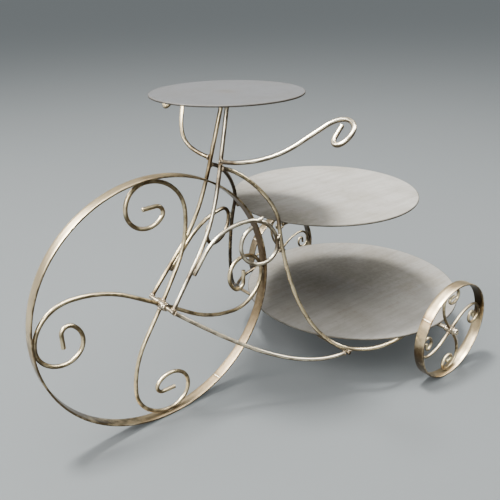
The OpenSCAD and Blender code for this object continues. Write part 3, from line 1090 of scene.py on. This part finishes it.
    def bearer_path(self) -> Array:
        """Middle line of the hairpin bearer under the middle plate.

        Returns:
            The points of the bearer, from its left end round to its right end.
        """
        height = SIZES.middle_under - SIZES.rod_r - SIZES.weld_gap
        front = at_height(self.backbone_path(), height) + vec(SIZES.rod_pitch, 0, 0)
        start = vec(front[0] + self.bearer_lead, -self.bearer_r, height)
        half = joined(
            stretch(front, self.bearer_pull, start, self.bearer_pull, 20),
            laid(bends(((0, self.bearer_len), (self.bearer_r, 90))), start, vec(1, 0, 0), ACROSS),
        )
        return joined(half, mirrored(half[::-1], Side.RIGHT))

    def build(self) -> None:
        """Builds the rods of the undercarriage and their welds."""
        backbone, stay, bearer = self.backbone_path(), self.stay_path(), self.bearer_path()
        for side in Side:
            self._build_side(side, backbone, bearer[0])
        bar_end = self.crossbar_end - SIZES.rod_r * ACROSS
        crossbar = np.array([mirrored(bar_end, side) for side in Side])
        joints = [mirrored(self.low_joint, side) for side in Side]
        # The stay takes the copy of the lacquer with painted light, the crossbar the copy with painted shade.
        for label, node, path, seed, finish, marks in (
            ("stay", "stay_left", stay, 5.1, Finish.PAINTED_LIGHT_ROD, [stay[0], stay[-1]]),
            ("crossbar", "front_crossbar", crossbar, 6.3, Finish.SHADED_ROD, joints),
            ("bearer", "middle_plate_bearer", bearer, 7.7, Finish.ROD, [bearer[0], bearer[-1]]),
        ):
            bar = Shape().rod(path, SIZES.rod_r, seed)
            Piece(label + "_bar", finish, [node], marks).make(bar, self.paints)
        welds = Shape()
        welds.collar_weld(stay[0], stay[0] - stay[1], SIZES.rod_r, 2.2, 1.5)
        welds.collar_weld(stay[-1], stay[-1] - stay[-2], SIZES.rod_r, 2.0, 2.5)
        Piece("stay_welds", Finish.WELD, (), [stay[0], stay[-1]]).make(welds, self.paints)

    def _build_side(self, side: Side, backbone: Array, bearer_end: Array) -> None:
        """Builds one backbone, its side scroll and their welds.

        Args:
            side: Side of the stand.
            backbone: Middle line of the left backbone.
            bearer_end: Left end of the bearer.
        """
        left = side is Side.LEFT
        scroll = self.scroll_path(self.left_scroll if left else self.right_scroll)
        touch = scroll[int(np.argmax(scroll[:, 0]))]
        marks = [backbone[0], self.plate_weld, self.low_joint, backbone[-1], scroll[0], bearer_end]
        # On the right, the scroll's arch takes painted shade through the same marks as the welds.
        scorched_and_shaded = [touch] if left else [touch, *scroll[slice(*self.painted_shade_right_scroll)]]
        spots = [mirrored(mark, side) for mark in marks]
        all_spots = spots + [mirrored(mark, side) for mark in scorched_and_shaded]
        # The left side scroll takes the copy with painted light; the backbones take copies with painted
        # shade, half on the left and full on the right.
        for label, path, seed, finish in (
            ("backbone", backbone, 0.4, Finish.PAINTED_HALF_SHADE_ROD if left else Finish.SHADED_ROD),
            ("side_scroll", scroll, 4.2, Finish.PAINTED_LIGHT_ROD if left else Finish.ROD),
        ):
            node = f"{label}_{side.name.lower()}"
            bar = Shape().rod(mirrored(path, side), SIZES.rod_r, seed + side.value)
            Piece(node + "_bar", finish, [node], all_spots, self.heat_and_shade_reach).make(bar, self.paints)
        welds = self._welds(side, backbone, scroll, touch)
        Piece(f"backbone_welds_{side.name.lower()}", Finish.WELD, (), spots).make(welds, self.paints)

    def _welds(self, side: Side, backbone: Array, scroll: Array, touch: Array) -> Shape:
        """Welds of one backbone and its scroll.

        Args:
            side: Side of the stand.
            backbone: Middle line of the backbone, drawn on the left side.
            scroll: Middle line of the scroll, drawn on the left side.
            touch: Point of the scroll that touches the backbone.

        Returns:
            The welds' surfaces.
        """
        r = SIZES.rod_r
        welds = Shape()

        def here(p: Array) -> Array:
            """A point, path or direction brought to this side."""
            return mirrored(p, side)

        welds.collar_weld(here(backbone[0]), here(backbone[1] - backbone[0]), r, 2.6, 0.5)
        welds.collar_weld(here(backbone[-1]), here(backbone[-1] - backbone[-2]), r, 2.0, 1.5)
        welds.tack(here(touch), here(backbone), UP, self.touch_bead)
        along = unit(scroll[1] - scroll[0])
        foot = here(scroll[0] + self.foot_bead_up * along)
        welds.tack(foot, here(self.fork.leg_path()), here(along), self.foot_bead)
        edge = self.plate_weld + r * unit((vec(SIZES.middle_plate_x, 0, 0) - self.plate_weld) * vec(1, 1, 0))
        low_edge, inner_edge = edge - self.plate_bead_drop * UP, edge + self.edge_bead_in * ACROSS
        welds.seam(here(low_edge), here(vec(-0.35, -1, 0)), here(vec(-0.5, 0, -1)), self.plate_bead)
        welds.seam(here(inner_edge), here(UP), here(vec(-1, 0.4, 0)), self.edge_bead)
        if side is Side.LEFT:
            stray = nearest(scroll, self.stray_bead_at) + self.stray_bead_rise * r * UP
            welds.seam(stray, vec(0.9, -0.2, 0.5), UP, self.stray_bead)
            bridge = nearest(scroll, touch + self.bridge_rise * UP)
            across = nearest(backbone, bridge) - bridge
            middle = bridge + 0.5 * across + self.bridge_out * r * self.bridge_front
            welds.seam(middle, unit(across) + 0.5 * UP, self.bridge_front, self.bridge_bead)
        low = 0.5 * (self.low_joint + self.crossbar_end)
        for x in (-self.joint_bead_out, self.joint_bead_out):
            place = low + x * self.joint_face
            bead = Bead(self.joint_bead_len, self.joint_bead_w, x)
            welds.seam(here(place), here(vec(0.5, -0.8, 0)), here(x * vec(1, 0, -0.5)), bead)
        return welds


@dataclass
class Plate:
    """Round plate of sheet metal with a softened edge and slight unevenness."""

    paints: Paints
    name: str
    centre_x: float
    height: float
    radius: float
    finish: Finish
    heat_and_shade: Sequence[Array]
    heat_and_shade_reach: float
    seed: float
    segments: int = 192
    centre_r: float = 3.0
    rings: int = 20
    edge_r: float = 1.1
    # Painted shade along the edge, through the mark mask.
    edge_shade: float = 0.85
    unevenness: float = 0.22

    def build(self) -> None:
        """Builds the plate in place of its CAD node."""
        t, r, e = SIZES.plate_t, self.radius, self.edge_r
        turns = np.radians(np.linspace(90, 0, 5))
        top_edge = [(r - e + e * math.cos(a), -e + e * math.sin(a)) for a in turns]
        low_edge = [(x, -t - y) for x, y in reversed(top_edge)]
        radii = np.append(np.linspace(self.centre_r, r - 3 * e, self.rings), r - 1.7 * e)
        profile = [(x, 0.0) for x in radii] + top_edge + low_edge + [(x, -t) for x in radii[::-1]]
        a = round_angles(self.segments)
        rows = []
        for x, z in reversed(profile):
            px, py = self.centre_x + x * np.cos(a), x * np.sin(a)
            rows.append(np.stack([px, py, self.height + z + self._wave(px, py)], axis=1))
        # Painted shade along the plate's edge.
        edge = [self.edge_shade if x > r - 1.5 * e else 0.0 for x, _ in reversed(profile)]
        tone = np.repeat(edge, self.segments)
        piece = Piece(self.name + "_sheet", self.finish, [self.name], self.heat_and_shade, self.heat_and_shade_reach, Slot.PLATES)
        replace(piece, least_painted_shade=tone).make(Shape().skin(np.array(rows)), self.paints)

    def _wave(self, x: Array, y: Array) -> Array:
        """Slight unevenness of the sheet, below its nominal face.

        Args:
            x: Places along X.
            y: Places along Y.

        Returns:
            The height of the sheet over its nominal face at each place, never above zero.
        """
        s = self.seed
        wave = np.sin(0.021 * x + 0.013 * y + s) + np.sin(0.017 * y - 0.011 * x + 2 * s)
        wave = wave + 0.5 * np.sin(0.05 * x + 3 * s)
        return self.unevenness * (wave - 2.5) / 2.5


@dataclass
class Wheel:
    """Wheel of a rolled flat-bar rim, a hub tube and four scroll spokes.

    The scroll of the spokes is drawn small and scaled up until it reaches the rim.
    """

    paints: Paints
    body: Body
    prefix: str
    centre: Array
    radius: float
    spoke_r: float
    axle_r: float
    hub_len: float
    turns: Sequence[float]
    hand: int
    seam_angle: float
    segments: int
    rod_finish: Finish = Finish.ROD
    rim_finish: Finish = Finish.RIM
    # Painted shade on the rim's inner face, as (angle, share) pairs.
    inner_painted_shade: Pairs = ()
    spoke_names: Sequence[str] = ("front", "lower", "rear", "upper")
    spoke_seeds: Sequence[float] = (0.3, 1.1, 2.3, 3.1)
    heading: float = 31.8
    scroll: Pairs = (
        (0, 0.304), (0.84, -31.8), (0.299, -90), (0.1856, -90), (0.16, -140), (0.0567, -130), (0, 0.108),
    )
    corner_r: float = 0.7
    hub_edge: float = 0.8
    hub_steps: int = 64
    bore_edge: float = 0.4
    bore_play: float = 0.2
    toe_out: float = 0.8
    toe_side: float = 0.62
    toe_len: float = 3.6
    toe_w: float = 2.6
    toe_lean: float = 0.4
    foot_lift: float = 0.3
    foot_weld: float = 1.6
    butt_w: float = 3.4
    butt_short: float = 1.0
    butt_sink: float = 0.35
    butt_marks: Sequence[float] = (-8, 0, 8)
    spoke_heat: float = 8.0
    rim_heat: float = 13.0
    hub_heat: float = 9.0
    weld_heat_and_shade: float = 18.0

    def spoke_path(self, turn: float) -> Array:
        """Middle line of a spoke.

        Args:
            turn: Turn of the spoke about the axle in degrees.

        Returns:
            The points of the spoke, from the hub to its inner end.
        """
        reach = self.radius - SIZES.rim_t - self.spoke_r - SIZES.weld_gap
        flat = bends(self.scroll, self.heading)
        flat *= reach / np.linalg.norm(flat, axis=1).max()
        a = math.radians(self.heading)
        flat[0] = (SIZES.hub_r + SIZES.weld_gap) * vec(math.cos(a), math.sin(a))
        t = math.radians(turn)
        u, v = vec(-math.cos(t), 0, math.sin(t)), vec(math.sin(t), 0, math.cos(t))
        return laid(flat, self.centre, u, self.hand * v)

    def build(self) -> None:
        """Builds the rim, hub, spokes and welds."""
        welds = Shape()
        touches: List[Array] = []
        r = self.spoke_r
        for name, turn, seed in zip(self.spoke_names, self.turns, self.spoke_seeds):
            path = self.spoke_path(turn)
            touch = path[int(np.argmax(np.linalg.norm(path - self.centre, axis=1)))]
            touches.append(touch)
            bar = Shape().rod(path, r, seed + self.radius)
            marks = [path[0], touch]
            spoke = self._piece(f"spoke_{name}", "bar", self.rod_finish, Slot.RODS, marks, self.spoke_heat)
            spoke.make(bar, self.paints)
            out = unit(touch - self.centre)
            for y in (-1, 1):
                place = touch + self.toe_out * r * out + self.toe_side * r * y * ACROSS
                bead = Bead(self.toe_len * r, self.toe_w, seed + y)
                welds.seam(place, np.cross(out, ACROSS), y * ACROSS - self.toe_lean * out, bead)
            start = path[1] - path[0]
            welds.collar_weld(path[0] + self.foot_lift * unit(start), start, r, self.foot_weld, seed)
        self._rim(welds, touches)
        self._hub()
        piece = self._piece("wheel", "welds", Finish.WELD, Slot.RIMS, [self.centre], self.weld_heat_and_shade)
        replace(piece, replaces=()).make(welds, self.paints)

    def _piece(
        self, node: str, form: str, finish: Finish, slot: Slot, heat_and_shade: Sequence[Array], reach: float
    ) -> Piece:
        """The piece that stands for one of the wheel's nodes, not yet made."""
        name = f"{self.prefix}_{node}"
        return Piece(f"{name}_{form}", finish, [name], heat_and_shade, reach, slot, self.body)

    def _rim(self, welds: Shape, touches: Sequence[Array]) -> None:
        """Builds the rim and adds its butt seam to the welds.

        Args:
            welds: Surfaces of the wheel's welds.
            touches: Points where the spokes touch the rim.
        """
        w, c, b = SIZES.rim_w / 2, self.corner_r, 0.3 * self.corner_r
        inner, outer = self.radius - SIZES.rim_t, self.radius
        profile = [
            (inner + c, -w), (outer - c, -w), (outer - b, -w + b), (outer, -w + c),
            (outer, -w / 3), (outer, w / 3), (outer, w - c), (outer - b, w - b), (outer - c, w),
            (inner + c, w), (inner + b, w - b), (inner, w - c),
            (inner, w / 3), (inner, -w / 3), (inner, -w + c), (inner + b, -w + b),
        ]
        shape = Shape().turned(profile, self.centre, self.segments, RIM_WAVES)
        a = math.radians(self.seam_angle)
        out = vec(math.cos(a), 0, math.sin(a))
        seam = self.centre + out * self.radius
        for depth, face in ((self.butt_sink, 1), (SIZES.rim_t - self.butt_sink, -1)):
            bead = Bead(SIZES.rim_w - self.butt_short, self.butt_w, 2.0 + face)
            welds.seam(seam - depth * out, ACROSS, face * out, bead)
        scorched = [*touches, *(seam + y * ACROSS for y in self.butt_marks)]
        rim = self._piece("rim", "bar", self.rim_finish, Slot.RIMS, scorched, self.rim_heat)
        # The front rim's inner face takes painted shade by angle.
        replace(rim, least_painted_shade=self._inner_painted_shade(shape, inner + c / 2)).make(shape, self.paints)

    def _inner_painted_shade(self, shape: Shape, inner: float) -> Optional[Array]:
        """Painted shade on the rim's inner face, by angle about the axle.

        Args:
            shape: Surfaces of the rim.
            inner: Radius that holds the inner face.

        Returns:
            The least painted shade at each point, or none on a rim without it.
        """
        if not self.inner_painted_shade:
            return None
        out = np.vstack(shape.points) - self.centre
        angles, tones = zip(*self.inner_painted_shade)
        tone = np.interp(np.degrees(np.arctan2(out[:, 2], out[:, 0])), angles, tones)
        return np.where(np.hypot(out[:, 0], out[:, 2]) < inner, tone, 0.0)

    def _hub(self) -> None:
        """Builds the hub tube with chamfered ends."""
        h, r, c, b = self.hub_len / 2, SIZES.hub_r, self.hub_edge, self.bore_edge
        bore = self.axle_r + self.bore_play
        half = [(bore, -h + b), (bore + b, -h), (r - c, -h), (r, -h + c)]
        profile = half + [(x, -y) for x, y in reversed(half)]
        shape = Shape().turned(profile, self.centre, self.hub_steps)
        hub = self._piece("hub", "tube", Finish.FITTING, Slot.FITTINGS, [self.centre], self.hub_heat)
        hub.make(shape, self.paints)


@dataclass
class Axles:
    """Both axles with their collars and the rear cap nuts."""

    paints: Paints
    axle_play: float = 0.04
    axle_edge: float = 0.7
    axle_sink: float = 0.2
    axle_sides: int = 28
    axle_seed: float = 0.9
    axle_heat: float = 8.0
    collar_r: float = 6.0
    collar_w: float = 4.0
    collar_edge: float = 0.6
    collar_steps: int = 56
    nut_flat: float = 6.5
    nut_h: float = 4.5
    nut_sharp: float = 24.0
    nut_steps: int = 96
    dome_share: float = 0.88
    dome_rise: float = 0.92
    dome_angles: Sequence[float] = (12, 26, 40, 54, 68, 80, 87)

    def build(self) -> None:
        """Builds the axles, collars and cap nuts."""
        front, rear = vec(0, 0, SIZES.front_r), vec(SIZES.wheelbase, 0, SIZES.rear_r)
        front_end = SIZES.front_hub_len / 2 + SIZES.side_play
        rear_end = SIZES.rear_hub_len / 2 + SIZES.side_play
        nut_y, fork_y = SIZES.rear_wheel_y + rear_end, SIZES.fork_w / 2
        fork_welds = [front + s * fork_y * ACROSS for s in (-1, 1)]
        for name, centre, radius, half, heat_and_shade in (
            ("front_axle", front, SIZES.front_axle_r, fork_y + SIZES.rod_r, fork_welds),
            ("rear_axle", rear, SIZES.rear_axle_r, nut_y + self.nut_h - self.axle_sink, ()),
        ):
            ends = np.array([centre - half * ACROSS, centre + half * ACROSS])
            bar = Shape().rod(ends, radius - self.axle_play, self.axle_seed, self.axle_sides, self.axle_edge)
            self._make(Piece(name + "_bar", Finish.FITTING, [name], heat_and_shade, self.axle_heat), bar)
        for name, centre, radius, place in (
            ("front_collars", front, SIZES.front_axle_r, front_end + self.collar_w / 2),
            ("rear_collars", rear, SIZES.rear_axle_r, SIZES.rear_wheel_y - rear_end - self.collar_w / 2),
        ):
            collars = Shape()
            for s in (-1, 1):
                self._collar(collars, centre + s * place * ACROSS, radius)
            self._make(Piece(name + "_turned", Finish.FITTING, [name]), collars)
        nuts = Shape()
        for s in (-1, 1):
            self._cap_nut(nuts, rear + s * nut_y * ACROSS, s)
        piece = Piece("rear_cap_nuts_domed", Finish.FITTING, ["rear_cap_nuts"], sharp_angle=self.nut_sharp)
        self._make(piece, nuts)

    def _make(self, piece: Piece, shape: Shape) -> None:
        """Makes a piece, moved to the slot of the fittings."""
        replace(piece, slot=Slot.FITTINGS).make(shape, self.paints)

    def _collar(self, shape: Shape, centre: Array, axle_r: float) -> None:
        """Adds a chamfered collar to a shape.

        Args:
            shape: Shape to add to.
            centre: Middle of the collar.
            axle_r: Radius of the axle that it sits on.
        """
        h, r, c = self.collar_w / 2, self.collar_r, self.collar_edge
        half = [(axle_r, -h), (r - c, -h), (r, -h + c)]
        shape.turned(half + [(x, -y) for x, y in reversed(half)], centre, self.collar_steps)

    def _cap_nut(self, shape: Shape, seat: Array, side: int) -> None:
        """Adds a domed cap nut to a shape.

        Args:
            shape: Shape to add to.
            seat: Middle of the nut's inner face.
            side: Sign of Y that the dome points to.
        """
        flat, top = self.nut_flat, self.nut_h
        corner = flat / math.cos(math.radians(30))
        a = round_angles(self.nut_steps)
        hexagon = flat / np.cos((a + math.pi / 6) % (math.pi / 3) - math.pi / 6)
        dome_r = self.dome_share * flat
        outline = [(flat * 0.93, 0.0), (corner, 0.9), (corner, top - 1.1), (flat * 0.96, top - 0.1)]
        outline.append((dome_r, top))
        for b in np.radians(self.dome_angles):
            outline.append((dome_r * math.cos(b), top + self.dome_rise * dome_r * math.sin(b)))
        rows = []
        for limit, y in outline:
            r = np.minimum(hexagon, limit)
            rows.append(seat + np.stack([r * np.cos(a), side * y + 0 * a, r * np.sin(a)], axis=1))
        shape.skin(np.array(rows if side > 0 else rows[::-1]))


@dataclass(frozen=True)
class Softbox:
    """Soft area light: its place, the point it faces and its two sides in metres, and its power in watts."""

    name: str
    place: Triple
    target: Triple
    size: Tuple[float, float]
    power: float
    glow: Glow = Glow.SHINE
    colour: Colour = (1.0, 0.985, 0.965)

    def build(self) -> None:
        """Adds the light, turned to its target and unseen by the camera."""
        data = bpy.data.lights.new(self.name, "AREA")
        data.shape = "RECTANGLE"
        data.size, data.size_y = self.size
        data.energy = self.power
        data.color = self.colour
        lamp = bpy.data.objects.new(self.name, data)
        lamp.location = self.place
        lamp.visible_camera = False
        lamp.visible_diffuse = self.glow is not Glow.SHINE
        lamp.visible_glossy = self.glow is not Glow.MATT
        lamp.rotation_euler = (Vector(self.target) - Vector(self.place)).to_track_quat("-Z", "Y").to_euler()
        bpy.context.scene.collection.objects.link(lamp)


@dataclass(frozen=True)
class Studio:
    """Pale floor, soft light and the camera at the photographed angle.

    The floor and the lights are sized in metres, the camera in millimetres.
    """

    azimuth: float = -37.86
    elevation: float = 24.12
    roll: float = -1.11
    place: Triple = (-364.78, -688.87, 630.81)
    lens: float = 41.77
    sensor: float = 36.0
    floor_half: float = 300.0
    floor_colour: Colour = (0.17, 0.187, 0.192)
    floor_glow: Colour = (0.88, 0.97, 1.0)
    floor_glow_strength: float = 0.07
    sky_colour: Colour = (0.95, 0.975, 1.0)
    sky: Tuple[float, float] = (0.012, 1.5)
    backdrop: float = 0.16
    lights: Sequence[Softbox] = (
        Softbox(
            "overhead_softbox", (-0.87, 0.45, 4.2), (0.02, 0, 0.2), (0.65, 0.65), 290, Glow.ALL,
            (1, 0.985, 0.96),
        ),
        Softbox("front_softbox", (-1.4, -1.3, 2.9), (0, 0, 0.2), (2.2, 1.6), 66, Glow.MATT),
        Softbox("left_softbox", (-2.15, 0.75, 2.4), (0, 0, 0.25), (1.6, 1.2), 440),
        Softbox("high_panel", (0.3, -0.3, 3.2), (0, 0, 0.25), (3.0, 1.5), 200),
        Softbox("front_left_panel", (-2.3, -1.5, 1.3), (0, 0, 0.3), (0.7, 1.5), 70),
        Softbox("right_panel", (1.75, -0.75, 2.45), (0, 0, 0.15), (0.8, 1.7), 90),
        Softbox("back_softbox", (-1.35, 2.3, 1.9), (0, 0, 0.25), (1.2, 0.8), 40),
    )

    def build(self) -> None:
        """Builds the floor, the world, the lights and the camera."""
        self._floor()
        self._world()
        for light in self.lights:
            light.build()
        self._camera()

    def _floor(self) -> None:
        """Adds the pale floor."""
        h = self.floor_half
        mesh = bpy.data.meshes.new("floor")
        mesh.from_pydata([(-h, -h, 0), (h, -h, 0), (h, h, 0), (-h, h, 0)], [], [(0, 1, 2, 3)])
        material = bpy.data.materials.new("pale_floor")
        material.use_nodes = True
        inputs = material.node_tree.nodes["Principled BSDF"].inputs
        inputs["Base Color"].default_value = opaque(self.floor_colour)
        inputs["Roughness"].default_value = 0.9
        inputs["Emission Color"].default_value = opaque(self.floor_glow)
        inputs["Emission Strength"].default_value = self.floor_glow_strength
        mesh.materials.append(material)
        floor = bpy.data.objects.new("floor", mesh)
        bpy.context.scene.collection.objects.link(floor)

    def _world(self) -> None:
        """Sets a soft sky that is bright overhead, and a pale backdrop behind the floor."""
        world = bpy.data.worlds.new("studio")
        world.use_nodes = True
        n = Nodes(world.node_tree)
        back = world.node_tree.nodes["Background"]
        split = n.add("ShaderNodeSeparateXYZ", {0: n.add("ShaderNodeTexCoord").outputs["Generated"]})
        glow = n.spread(split.outputs["Z"], 0.62, 1.0, self.sky)
        seen = n.maths("MULTIPLY", n.add("ShaderNodeLightPath").outputs["Is Camera Ray"], self.backdrop)
        n.fill(back.inputs["Strength"], n.maths("MAXIMUM", glow, seen))
        n.fill(back.inputs["Color"], opaque(self.sky_colour))
        bpy.context.scene.world = world

    def _camera(self) -> None:
        """Adds the camera and makes it the scene's."""
        az, el, roll = (math.radians(v) for v in (self.azimuth, self.elevation, self.roll))
        back = Vector((math.sin(az) * math.cos(el), -math.cos(az) * math.cos(el), math.sin(el)))
        right = Vector((math.cos(az), math.sin(az), 0))
        up = back.cross(right)
        across = math.cos(roll) * right + math.sin(roll) * up
        upright = -math.sin(roll) * right + math.cos(roll) * up
        data = bpy.data.cameras.new("camera")
        data.sensor_width = self.sensor
        data.lens = self.lens
        data.clip_start, data.clip_end = 0.01, 1000
        camera = bpy.data.objects.new("camera", data)
        turn = Matrix((across, upright, back)).transposed().to_4x4()
        spot = Vector((self.place[0] + FRONT_AXLE_X, *self.place[1:])) * MM
        camera.matrix_world = Matrix.Translation(spot) @ turn
        bpy.context.scene.collection.objects.link(camera)
        bpy.context.scene.camera = camera


@dataclass
class Plates:
    """The three plates: the upper two marked where they are welded, the middle one's marks spread wide as
    painted shade under the top plate, and a painted shadow on the lower one where the middle one shades it.
    """

    paints: Paints
    fork: Fork
    undercarriage: Undercarriage
    top_reach: float = 11.0
    # Wide reach: weld marks on the middle plate, partly painted shade under the top plate.
    middle_reach: float = 92.0
    # Painted shadow of the middle plate on the lower plate: marks on a ring round the shadow's middle, lifted
    # above the plate for a soft edge.
    shadow_reach: float = 130.0
    shadow_ring_r: float = 100.0
    shadow_angles: Sequence[float] = (7, 52, 97)
    shadow_lead: float = 58.0
    shadow_left: float = 14.0
    shadow_lift: float = 50.0

    def build(self) -> None:
        """Builds the plates from the top down."""
        s = SIZES
        top = [mirrored(self.fork.leg_path()[-1], side) for side in Side]
        middle = [mirrored(self.undercarriage.plate_weld, side) for side in Side]
        # Middle of the painted shadow on the lower plate.
        ring = self.shadow_ring_r * oval(np.radians(self.shadow_angles), vec(1, 0, 0), ACROSS)
        shadow_middle = vec(s.middle_plate_x + self.shadow_lead, -self.shadow_left, s.lower_plate_h + self.shadow_lift)
        for name, x, height, radius, heat_and_shade, reach, seed in (
            ("top", s.top_plate_x, s.top_plate_h, s.top_plate_r, top, self.top_reach, 0.4),
            ("middle", s.middle_plate_x, s.middle_plate_h, s.middle_plate_r, middle, self.middle_reach, 1.7),
            ("lower", s.lower_plate_x, s.lower_plate_h, s.lower_plate_r, shadow_middle + ring, self.shadow_reach, 2.6),
        ):
            # The top plate takes the darker copy of the plate lacquer, painted shade.
            finish = Finish.TOP_PLATE if name == "top" else Finish.PLATE
            Plate(self.paints, name + "_plate", x, height, radius, finish, heat_and_shade, reach, seed).build()


@dataclass
class Wheels:
    """The front wheel and both rear wheels."""

    paints: Paints
    front_turns: Sequence[float] = (0, -89, 182, 88.5)
    front_seam: float = -62.0
    # Painted shade on the front rim's inner face, by angle about the axle.
    front_painted_shade: Pairs = ((-95, 0), (-75, 0.7), (-35, 0.8), (0, 0.95), (20, 0.95), (40, 0))
    rear_turns: Sequence[float] = (-6, -96, 174, 84)
    rear_seam: float = 148.0

    def build(self) -> None:
        """Builds the wheels."""
        s = SIZES
        Wheel(
            self.paints, Body.FRONT_WHEEL, "front", vec(0, 0, s.front_r), s.front_r, s.rod_r, s.front_axle_r,
            s.front_hub_len, self.front_turns, 1, self.front_seam, 288, inner_painted_shade=self.front_painted_shade,
        ).build()
        # The right rear wheel takes the copies of the lacquer with painted half shade and painted shade.
        for side, body, rod, rim in (
            (Side.LEFT, Body.REAR_LEFT_WHEEL, Finish.ROD, Finish.RIM),
            (Side.RIGHT, Body.REAR_RIGHT_WHEEL, Finish.PAINTED_HALF_SHADE_ROD, Finish.SHADED_ROD),
        ):
            prefix = f"rear_{side.name.lower()}"
            centre = vec(s.wheelbase, side.value * s.rear_wheel_y, s.rear_r)
            Wheel(
                self.paints, body, prefix, centre, s.rear_r, s.rear_spoke_r, s.rear_axle_r, s.rear_hub_len,
                self.rear_turns, -1, self.rear_seam, 176, rod, rim,
            ).build()


def main() -> None:
    """Builds the stand and its studio."""
    logging.basicConfig(level=logging.INFO, format="%(name)s %(message)s")
    paints = Paints()
    fork = Fork(paints)
    undercarriage = Undercarriage(paints, fork)
    plates = Plates(paints, fork, undercarriage)
    for part in (fork, undercarriage, plates, Wheels(paints), Axles(paints), Studio()):
        part.build()


if __name__ == "__main__":
    main()
